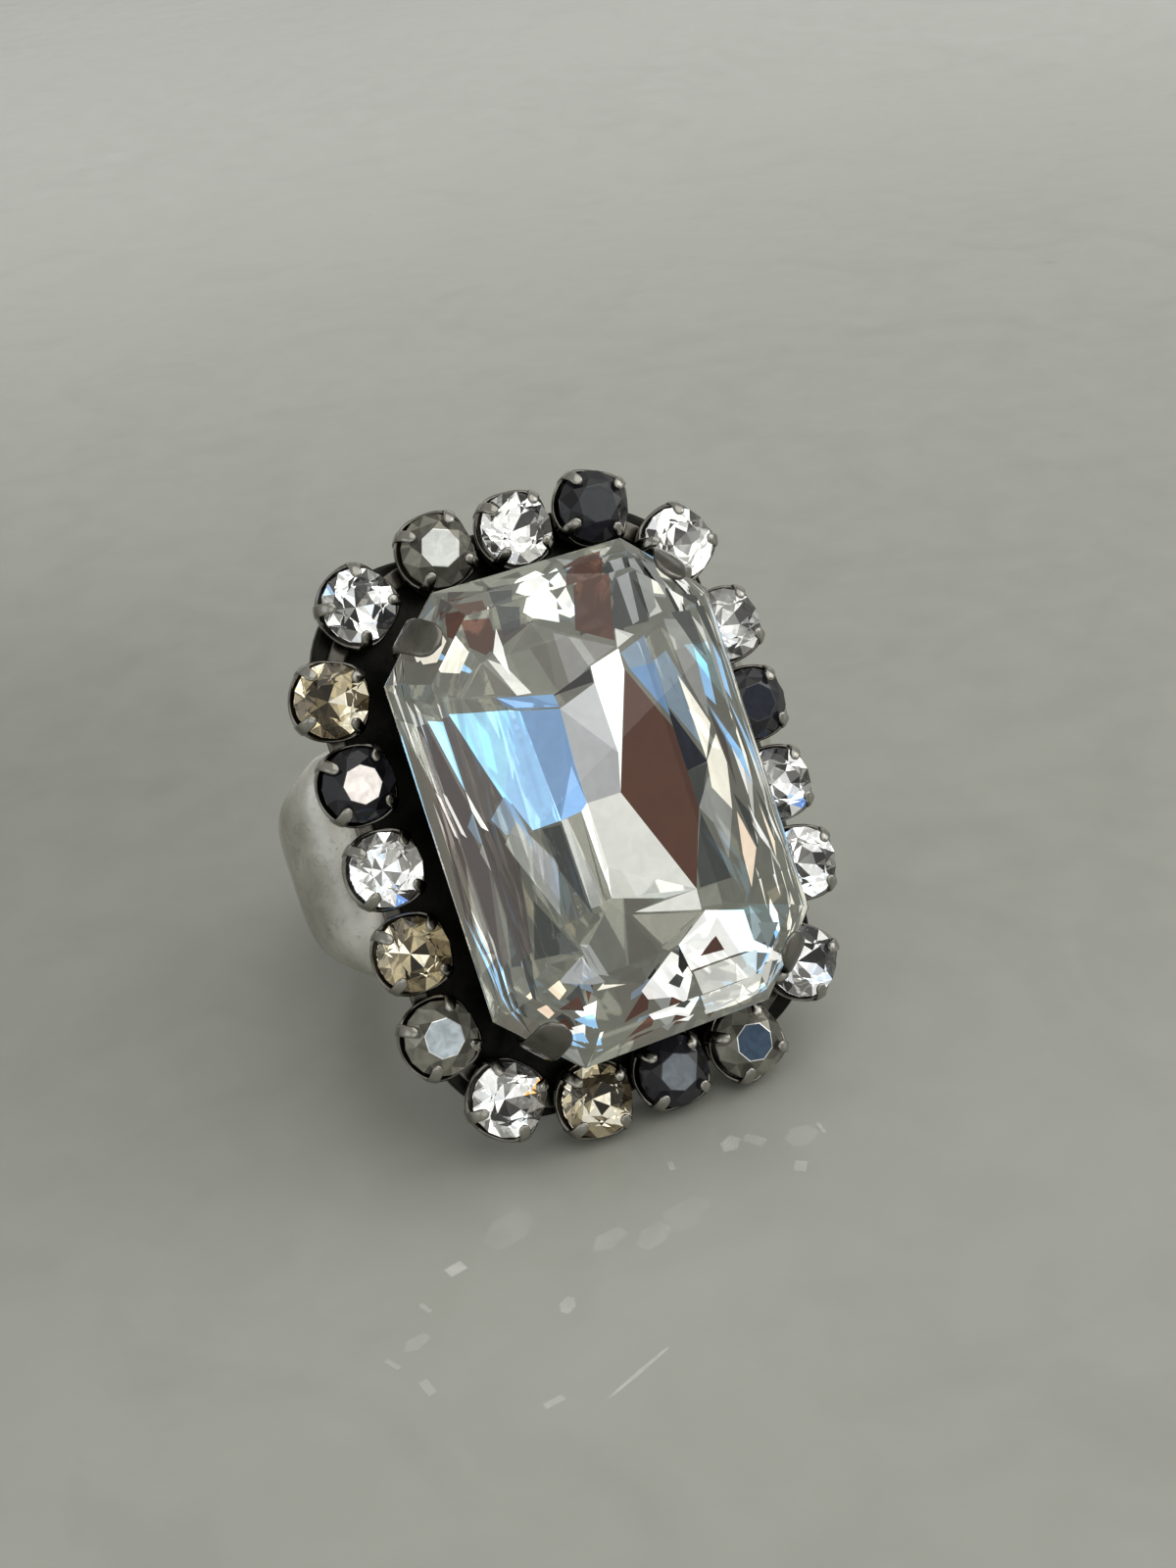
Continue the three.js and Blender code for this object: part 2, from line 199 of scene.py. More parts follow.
def plug(tree, node, settings):
    """Gives each named socket its plain value, or joins it to another node's output."""
    for socket, value in settings.items():
        if isinstance(value, bpy.types.NodeSocket):
            tree.links.new(value, node.inputs[socket])
        else:
            node.inputs[socket].default_value = value
    return node


def noise(tree, scale, detail, distortion=0.0):
    """Noise in the piece's own coordinates; scale is in waves per metre."""
    place = tree.nodes.new("ShaderNodeTexCoord").outputs["Object"]
    texture = tree.nodes.new("ShaderNodeTexNoise")
    plug(tree, texture, {"Vector": place, "Scale": scale, "Detail": detail, "Distortion": distortion})
    return texture.outputs["Fac"]


def ramp(tree, source, *stops):
    """A colour ramp between two (position, colour) stops."""
    node = plug(tree, tree.nodes.new("ShaderNodeValToRGB"), {"Fac": source})
    for element, (position, colour) in zip(node.color_ramp.elements, stops):
        element.position, element.color = position, (*colour, 1.0)
    return node.outputs["Color"]


def spread(tree, source, low, high, start=0.3, stop=0.7):
    """A number that runs from low to high as the source goes from start to stop."""
    node = tree.nodes.new("ShaderNodeMapRange")
    plug(tree, node, {"Value": source, "From Min": start, "From Max": stop, "To Min": low, "To Max": high})
    return node.outputs["Result"]


def mix_colour(tree, factor, first, second, blend="MIX"):
    """Two colours mixed by a factor; each may be a socket or a plain colour."""
    node = tree.nodes.new("ShaderNodeMix")
    node.data_type, node.blend_type = "RGBA", blend
    opaque = [colour if isinstance(colour, bpy.types.NodeSocket) else (*colour, 1.0)
              for colour in (first, second)]
    plug(tree, node, dict(zip((0, 6, 7), (factor, *opaque))))
    return node.outputs[2]


def attribute(tree, name, output):
    """Reads a value or colour that is stored with the piece's points or corners."""
    node = tree.nodes.new("ShaderNodeAttribute")
    node.attribute_name = name
    return node.outputs[output]


def bump(tree, height, strength, distance):
    """Tilts the surface by a height, without moving it."""
    node = tree.nodes.new("ShaderNodeBump")
    plug(tree, node, {"Strength": strength, "Distance": distance, "Height": height})
    return node.outputs["Normal"]


def metal(name, dark, light, rubbed_and_highlight, roughness, grain):
    """Plated metal: dark and light wander with a cloud, the worn parts and painted highlights are brighter,
    and scuffs and specks are darker shares of the dark tone."""
    material, tree, shader = new_material(name)
    cloud = noise(tree, 420, 6, 0.6)
    speck = noise(tree, 2600, 3)
    scuffs = spread(tree, noise(tree, 1100, 8, 2.5), 0.0, 0.30, 0.56, 0.66)
    specks = spread(tree, speck, 0.0, 0.55, 0.64, 0.76)
    colour = ramp(tree, cloud, (0.34, dark), (0.66, light))
    for share, amount in ((SCUFF_TONE, scuffs), (SPECK_TONE, specks)):
        colour = mix_colour(tree, amount, colour, tuple(share * c for c in dark))
    colour = mix_colour(tree, attribute(tree, "rub", "Fac"), colour, rubbed_and_highlight)
    plug(tree, shader, {"Base Color": colour, "Metallic": 1.0, "Roughness": spread(tree, cloud, *roughness),
                        "Normal": bump(tree, speck, grain, GRAIN_DEPTH)})
    return material


def add_wear_and_painted_light(piece, values):
    """Stores one number from 0 to 1 for each point; on metal it says how far wear and painted highlight make
    it paler, on the table it holds the painted shadow and light that shade its colour, and on the patches of
    thrown light the strength of their painted light.
    """
    layer = piece.data.attributes.new("rub", "FLOAT", "POINT")
    layer.data.foreach_set("value", np.asarray(values, np.float32))


def ring_points(piece):
    """A finished piece's points, back in the ring's millimetres."""
    points = np.zeros(len(piece.data.vertices) * 3)
    piece.data.vertices.foreach_get("co", points)
    return to_ring(points.reshape(-1, 3))


satin_silver = metal("satin silver", (0.43, 0.42, 0.375), (0.66, 0.65, 0.60), (0.82, 0.81, 0.77),
                     (0.26, 0.42), 0.4)
dark_metal = metal("darkened setting metal", (0.085, 0.081, 0.070), (0.17, 0.162, 0.142), (0.78, 0.76, 0.70),
                   (0.14, 0.28), 0.15)
# The plate's near-black is painted shade: it stands for the dark gaps behind the stones.
plate_shade_metal = metal("blackened plate metal", (0.012, 0.012, 0.011), (0.028, 0.027, 0.024), (0.42, 0.41, 0.37),
                    (0.26, 0.42), 0.4)
print("metals:", [finish.name for finish in (satin_silver, dark_metal, plate_shade_metal)])

# %% [markdown]
# ## The shank
#
# Seen from the front the band is round inside and swells into two shoulders under the head. Seen from
# the side it narrows from the head to the bottom. So its outside is a closed path of stations, and at
# each station a rounded section is stretched from the finger hole to the outline. A caster would pour it
# and tumble it, which is why no edge is sharp.

# %% Paths
def bezier(a, b, c, d, count):
    """A cubic curve from a to d that leaves towards b and arrives from c."""
    t = np.linspace(0, 1, count)[:, None]
    a, b, c, d = (np.array(p, float) for p in (a, b, c, d))
    return a * (1 - t) ** 3 + 3 * b * t * (1 - t) ** 2 + 3 * c * t**2 * (1 - t) + d * t**3


def even(path, count, closed=False):
    """The same path with its points at even distances along it."""
    path = np.vstack([path, path[:1]]) if closed else path
    steps = np.linalg.norm(np.diff(path, axis=0), axis=1)
    keep = np.concatenate([[True], steps > 1e-9])
    path, steps = path[keep], steps[steps > 1e-9]
    length = np.concatenate([[0], np.cumsum(steps)])
    at = np.linspace(0, length[-1], count, endpoint=not closed)
    return np.stack([np.interp(at, length, path[:, k]) for k in range(path.shape[1])], 1)


def soften(path, reach, closed=True):
    """Rounds the corners of an evenly spaced path by averaging each point with its neighbours."""
    kernel = np.ones(2 * reach + 1) / (2 * reach + 1)
    padded = np.pad(path, ((reach, reach), (0, 0)), mode="wrap" if closed else "edge")
    soft = np.stack([np.convolve(padded[:, k], kernel, "valid") for k in range(path.shape[1])], 1)
    if not closed:
        soft[0], soft[-1] = path[0], path[-1]
    return soft


# %% The shank's outline, width and section
FINGER_RADIUS = 9.25
STATIONS, AROUND = 288, 72
SHANK_TOP, SHANK_BOTTOM, SHANK_SIDE = 10.85, -11.35, 12.85
SHOULDER_REACH, SHOULDER_HEIGHT, TOP_HALF = 14.8, 6.2, 10.6
HALF_WIDTHS = (6.3, 3.9, 2.8)
SHANK_SHIFT = 0.5

right_half = np.vstack([
    bezier((0, SHANK_TOP), (3, SHANK_TOP), (7, SHANK_TOP), (TOP_HALF, SHANK_TOP), 40),
    bezier((TOP_HALF, SHANK_TOP), (SHOULDER_REACH, SHANK_TOP - 0.6), (SHOULDER_REACH, SHOULDER_HEIGHT),
           (SHANK_SIDE, 0), 60),
    bezier((SHANK_SIDE, 0), (SHANK_SIDE - 1.4, 0.62 * SHANK_BOTTOM), (0.56 * SHANK_SIDE, SHANK_BOTTOM),
           (0, SHANK_BOTTOM), 60),
])
left_half = right_half[::-1] * (-1, 1)
shank_path = soften(even(np.vstack([right_half, left_half]), STATIONS, closed=True), 3)

flank = bezier((HALF_WIDTHS[0], SHANK_TOP - 1), (HALF_WIDTHS[1], SHOULDER_HEIGHT), (HALF_WIDTHS[1], 0),
               (HALF_WIDTHS[2], SHANK_BOTTOM - 0.5), 60)[::-1]


def shank_surface(square=4.2):
    """Inside point i and outside point o share an angle. The section goes round the box between them
    as a superellipse: distance ((1 + C) / 2) of the way out and S times the half width along y, where
    C and S are cosine and sine with their size raised to 2 / square, keeping their sign."""
    outside = shank_path
    inside = FINGER_RADIUS * outside / np.linalg.norm(outside, axis=1)[:, None]
    half_width = np.interp(outside[:, 1], flank[:, 1], flank[:, 0])
    turn = 2 * np.pi * np.arange(AROUND) / AROUND
    c, s = signed_power(np.cos(turn), 2 / square), signed_power(np.sin(turn), 2 / square)
    out = ((1 + c) / 2)[None, :, None]
    flat = inside[:, None, :] * (1 - out) + outside[:, None, :] * out
    along = half_width[:, None] * s[None, :] + SHANK_SHIFT
    points = np.stack([flat[..., 0], along, flat[..., 1]], -1)
    # Casting and tumbling leave the faces very slightly wavy.
    wave = 0.03 * np.sin(1.7 * points[..., 0] + 0.9 * points[..., 1]) * np.sin(1.3 * points[..., 2] + 1.1)
    points *= 1 - (wave * (out[..., 0] - 1))[..., None] / FINGER_RADIUS
    return points.reshape(-1, 3), grid_faces(STATIONS, AROUND, wrap_rows=True)


shank = make_piece("band_shank", *shank_surface(), satin_silver)
place = ring_points(shank)
add_wear_and_painted_light(shank, np.clip((np.abs(place[:, 1] - SHANK_SHIFT) - 3.0) / 6.0, 0, 0.35))
settle(shank, "brushed_silver", "shank")
print("shank:", len(shank.data.polygons), "faces")

# %% [markdown]
# ## The back plate
#
# A flat stamped plate joins the head to the shank. It is a rounded rectangle with softly broken edges,
# made as outlines that shrink and drop: the middle of the top, its edge, the rim, the edge below and the
# middle of the underside. Its face is painted near black as shade, which lets the stones stand out, and
# its back is worn paler.

# %% The back plate
PLATE_HALF = (11.3, 15.1)
PLATE_CORNER = 6.0
PLATE_BOTTOM, PLATE_TOP = 10.9, 11.7
PLATE_BREAK = 0.22


def rounded_rectangle(half_x, half_y, radius, count):
    """Straight sides joined by quarter circles: each corner's centre plus the radius at an angle."""
    turn = np.linspace(0, 2 * np.pi, count, endpoint=False)
    x = np.cos(turn) * radius + np.sign(np.cos(turn)) * (half_x - radius)
    y = np.sin(turn) * radius + np.sign(np.sin(turn)) * (half_y - radius)
    return even(np.stack([x, y], 1), count, closed=True)


def stack_outlines(outline, levels):
    """Rows of one outline: each level is (scale, inset, z)."""
    size = np.abs(outline).max(0)
    rows = [np.column_stack([outline * scale * (1 - inset / size), np.full(len(outline), z)])
            for scale, inset, z in levels]
    return np.concatenate(rows), grid_faces(len(levels), len(outline))


soft_break = [(PLATE_BREAK * (1 - math.sin(a)), PLATE_BREAK * (1 - math.cos(a)))
              for a in np.linspace(0, math.pi / 2, 5)]
plate_levels = [(0, 0, PLATE_TOP), (0.5, 0, PLATE_TOP), (0.9, 0, PLATE_TOP)]
plate_levels += [(1, inset, PLATE_TOP - drop) for inset, drop in soft_break]
plate_levels += [(1, inset, PLATE_BOTTOM + drop) for inset, drop in soft_break[::-1]]
plate_levels += [(0.9, 0, PLATE_BOTTOM), (0.5, 0, PLATE_BOTTOM), (0, 0, PLATE_BOTTOM)]
plate_outline = rounded_rectangle(*PLATE_HALF, PLATE_CORNER, 160)
plate = make_piece("stamped_back_plate", *stack_outlines(plate_outline, plate_levels), plate_shade_metal)
under = np.clip((PLATE_TOP - ring_points(plate)[:, 2]) / (PLATE_TOP - PLATE_BOTTOM), 0, 1)
add_wear_and_painted_light(plate, 0.30 * under**2)
settle(plate, "dark_setting_metal", "back_plate")
print("back plate:", len(plate.data.polygons), "faces")

# %% [markdown]
# ## The centre crystal's claw setting
#
# A collar of sheet metal follows the crystal's octagon under its girdle, and a claw stands on each cut
# corner, bent over the crown. The collar is a ring of outlines; each claw is a flat strip that runs up a
# path and ends in a round tip, where the width shrinks like the edge of a coin.

# %% Octagons and the collar
CRYSTAL_HALF = (9.0, 12.5)
CORNER_CUT = 3.75
GIRDLE_LEVEL = 17.2
GIRDLE_HALF = 0.15
SEAT = 11.75
COLLAR_BASE_INSET, COLLAR_RIM_INSET = 3.4, 0.5525
COLLAR_WALL, COLLAR_LIP = 0.45, 0.12
COLLAR_RIM = GIRDLE_LEVEL - 1.0
STRIP_SQUARE = 0.7


def octagon(inset=0.0):
    """A rectangle with its corners cut at 45 degrees, every side moved inwards by the same distance."""
    hx, hy = CRYSTAL_HALF[0] - inset, CRYSTAL_HALF[1] - inset
    cut = CORNER_CUT - inset * (2 - math.sqrt(2))
    quarter = np.array([(hx, hy - cut), (hx - cut, hy)])
    back = quarter[::-1]
    return np.vstack([quarter, back * (-1, 1), quarter * (-1, -1), back * (1, -1)])


def collar_row(inset, z, count=240):
    """The octagon at one level, with its corners eased as sheet metal bends."""
    path = soften(even(octagon(inset), count, closed=True), 3)
    return np.column_stack([path, np.full(count, z)])


def collar_surface():
    """Out and up from the seat to the rim, over a rounded lip, and back down inside the wall."""
    t = np.linspace(0, 1, 9)
    outer = [(COLLAR_BASE_INSET + (COLLAR_RIM_INSET - COLLAR_BASE_INSET) * k,
              SEAT + (COLLAR_RIM - SEAT) * k - COLLAR_LIP * (k == 1)) for k in t]
    inner = [(inset + COLLAR_WALL, z) for inset, z in outer[::-1]]
    lip = [(COLLAR_RIM_INSET + COLLAR_WALL * k, COLLAR_RIM - COLLAR_LIP + COLLAR_LIP * math.sin(math.pi * k))
           for k in (0.15, 0.5, 0.85)]
    rows = [collar_row(*level) for level in outer + lip + inner]
    return np.concatenate(rows), grid_faces(len(rows), len(rows[0]), wrap_rows=True)


def bent_strip(side_view, out, width, thickness, ends, around):
    """A flat strip bent as its side view says, in distances out and heights, and facing the direction out.
    Its section is a superellipse. Over the first and last share of its length the width shrinks like a
    coin's edge, by the square root of one minus the square of how far into the end a point is, and the
    thickness by the square root of that."""
    along = np.gradient(side_view, axis=0)
    along /= np.linalg.norm(along, axis=1)[:, None]
    outward = np.column_stack([along[:, 1:2] * out, -along[:, 0]])
    sideways = np.array([-out[1], out[0], 0.0])
    path = np.column_stack([side_view[:, :1] * out, side_view[:, 1]])
    t = np.linspace(0, 1, len(path))
    root, tip = ends
    coin = np.ones(len(path))
    for depth in ((root - t) / root, (t - (1 - tip)) / tip):
        coin *= np.sqrt(np.clip(1 - np.clip(depth, 0, 1) ** 2, 0, 1))
    turn = 2 * np.pi * np.arange(around) / around
    c, s = (signed_power(wave(turn), STRIP_SQUARE)[None, :, None] for wave in (np.cos, np.sin))
    half_width = (width * coin / 2)[:, None, None]
    half_thickness = (thickness * np.sqrt(coin) / 2)[:, None, None]
    points = path[:, None, :] + c * half_width * sideways + s * half_thickness * outward[:, None, :]
    return points.reshape(-1, 3), grid_faces(len(path), around)


# %% The claws
CLAW_WIDTH, CLAW_THICKNESS = 2.15, 0.42
claw_side = np.array([(-1.05, -2.0), (-0.45, -1.1), (0.30, -0.45), (0.34, 0.25), (0.12, 0.85),
                      (-0.42, 1.62), (-1.25, 2.32)])
claw_path = soften(even(claw_side, 60), 5, closed=False)


def claw(sx, sy):
    """One claw: its side view is set on a cut corner and turned to face out along the diagonal."""
    t = np.linspace(0, 1, len(claw_path))
    width = CLAW_WIDTH * (1 - 0.12 * t)
    thickness = CLAW_THICKNESS * (0.9 + 0.25 * np.exp(-((t - 0.62) / 0.15) ** 2))
    out = np.array([sx, sy]) / math.sqrt(2)
    points, faces = bent_strip(claw_path, out, width, thickness, (0.05, 0.20), 28)
    middle_x, middle_y = (half - CORNER_CUT / 2 for half in CRYSTAL_HALF)
    return points + (middle_x * sx, middle_y * sy, GIRDLE_LEVEL), faces


corners = [(1, 1), (-1, 1), (-1, -1), (1, -1)]
setting_parts = [collar_surface()] + [claw(*corner) for corner in corners]
setting = make_piece("crystal_claw_setting", *merge(setting_parts), dark_metal)
add_wear_and_painted_light(setting, np.clip((ring_points(setting)[:, 2] - GIRDLE_LEVEL - 1.6) / 6.0, 0, 0.08))
settle(setting, "dark_setting_metal", "claw_setting")
print("claw setting:", len(setting.data.polygons), "faces")

# %% [markdown]
# ## Cut and foiled crystal
#
# A rhinestone is clear glass with a mirror painted on its back. Light goes in through the crown, meets
# the foil behind the pavilion facets and comes out again, so what the eye sees is mostly the facets at
# the back, each mirroring its own patch of the room, bent and broken by the crown in front. The same thing
# is built here: one closed solid whose front faces are glass and whose back faces are foil. The foil's tone
# comes from an attribute that holds one colour for each facet, and these colours are painted reflections:
# the room's light and shade laid onto the facets. Foil behind glass gathers light from all round, so most
# of its tone is given as a painted glow of its own, which doesn't depend on where the lamps stand. The
# price is that the stones would still shine in a dark room.

# %% Glass and foil
# The foil's glow is painted light: most of its tone is given off by the foil itself.
FOIL_GLOW, FOIL_ROUGHNESS = 0.95, 0.03


def crystal_glass(name, tint):
    """Clear glass whose colour carries the faintest cloud, like breath on a stone."""
    material, tree, shader = new_material(name)
    colour = ramp(tree, noise(tree, 300, 4, 0.8), (0.35, tuple(0.96 * c for c in tint)), (0.65, tint))
    plug(tree, shader, {"Base Color": colour, "Transmission Weight": 1.0, "Roughness": 0.0, "IOR": 1.55})
    return material


def facet_painted_light(name, grain, veil, glow):
    """Each facet's painted reflection tone behind a veil of cloud, as its colour and as a painted glow of the
    given strength. The veil is given by the numbers of its noise and by its two stops, each a position and a
    strength."""
    material, tree, shader = new_material(name)
    cloud = noise(tree, *grain)
    stops = [(position, (strength,) * 3) for position, strength in veil]
    colour = mix_colour(tree, 1.0, attribute(tree, "tone", "Color"), ramp(tree, cloud, *stops), "MULTIPLY")
    plug(tree, shader, {"Base Color": colour, "Emission Color": colour, "Emission Strength": glow})
    material.cycles.emission_sampling = "NONE"
    return material, tree, shader, cloud


def foil(name):
    """Mirror foil in each facet's painted reflection tone, with the faint streaks of a dipped coating."""
    material, tree, shader, streak = facet_painted_light(name, (900, 5, 1.2), ((0.3, 0.66), (0.7, 0.74)), FOIL_GLOW)
    roughness = spread(tree, streak, 0.7 * FOIL_ROUGHNESS, 1.4 * FOIL_ROUGHNESS)
    plug(tree, shader, {"Metallic": 1.0, "Roughness": roughness})
    return material


def add_tones(piece, tones):
    """One colour for each face, written to all of that face's corners."""
    mesh = piece.data
    sides = np.zeros(len(mesh.polygons), int)
    mesh.polygons.foreach_get("loop_total", sides)
    rgba = np.column_stack([np.asarray(tones, float), np.ones(len(tones))])
    layer = mesh.color_attributes.new("tone", "FLOAT_COLOR", "CORNER")
    layer.data.foreach_set("color", np.repeat(rgba, sides, axis=0).astype(np.float32).ravel())


clear_glass = crystal_glass("clear cut crystal", (1.0, 1.0, 1.0))
big_foil = foil("crystal back foil")
print("crystal:", clear_glass.name, "in front of", big_foil.name)

# %% [markdown]
# ## The plan of the big crystal's back
#
# The plan of the pavilion is drawn as seen from the front, in millimetres from the middle: long
# kites either side of a keel, steps along the rim and small triangles at both ends. A cutter's plan is
# even, and this one isn't, because each facet is drawn where its reflection meets the eye. Facets drawn
# later lie over earlier ones, and a constrained triangulation turns the overlapping drawing into one
# sheet of facets with no gaps. Light bends at the flat top, so a facet seen from the left lies a
# little further right, by a share of its depth.

# %% Tones and the pavilion's depth
# Painted reflections: each tone is the light or shade that a facet of the foiled back mirrors, blues from sky
# and window, whites from lamps. The rim slivers take their tones from here too.
PAINTED_REFLECTION_TONES = {
    "pale blue": (0.43, 0.84, 1.12), "sky": (0.40, 0.72, 1.10), "mid blue": (0.17, 0.31, 0.53),
    "slate blue": (0.24, 0.32, 0.40), "navy": (0.010, 0.013, 0.024),
    "silver": (0.41, 0.425, 0.43), "pearl": (0.76, 0.77, 0.72), "white": (1.22, 1.23, 1.18),
    "cream": (1.25, 1.22, 1.04), "peach": (1.25, 1.04, 0.80), "brown": (0.092, 0.040, 0.026),
    "umber": (0.095, 0.082, 0.075), "olive": (0.175, 0.178, 0.148), "khaki": (0.215, 0.218, 0.182),
    "moss": (0.150, 0.155, 0.132), "grey": (0.35, 0.36, 0.34), "slate": (0.060, 0.065, 0.062),
    "black": (0.008, 0.008, 0.009),
}
PAVILION_DEPTH, BREAK_DEPTH, BREAK_INSET, KEEL_HALF = 5.1, 3.1, 4.0, 3.2
CROWN_HEIGHT, TABLE_INSET = 1.9, 1.7
CROWN_STEP_INSET, CROWN_STEP_HEIGHT = 0.8, 1.12
LEAN, RIM_MARGIN = 0.21, 0.12


def rim_distance(points):
    """How far inside the octagon each point is: the least distance to its eight sides."""
    x, y = np.abs(points[:, 0]), np.abs(points[:, 1])
    diagonal = (sum(CRYSTAL_HALF) - CORNER_CUT - x - y) / math.sqrt(2)
    return np.minimum.reduce([CRYSTAL_HALF[0] - x, CRYSTAL_HALF[1] - y, diagonal])


def pavilion_depth(points):
    """Steep from the girdle to the break, then shallow to the keel, measured down from the girdle."""
    inside = np.maximum(rim_distance(points), 0)
    steep = GIRDLE_HALF + inside * (BREAK_DEPTH - GIRDLE_HALF) / BREAK_INSET
    full = CRYSTAL_HALF[0]
    shallow = BREAK_DEPTH + (inside - BREAK_INSET) * (PAVILION_DEPTH - BREAK_DEPTH) / (full - BREAK_INSET)
    return np.minimum(steep, shallow)


def behind(points):
    """Where a facet corner must lie to be seen at these points through the crystal's flat top. The shift
    depends on the depth at its own end, so it is worked out four times, each from the last."""
    seen = np.asarray(points, float)
    place = seen.copy()
    for _ in range(4):
        depth = pavilion_depth(place) + CROWN_HEIGHT
        place = seen + np.column_stack([LEAN * depth, np.zeros(len(seen))])
    inside = rim_distance(place)
    pull = np.clip((RIM_MARGIN - inside) / np.linalg.norm(place, axis=1), 0, 0.5)
    return place * (1 - pull)[:, None]


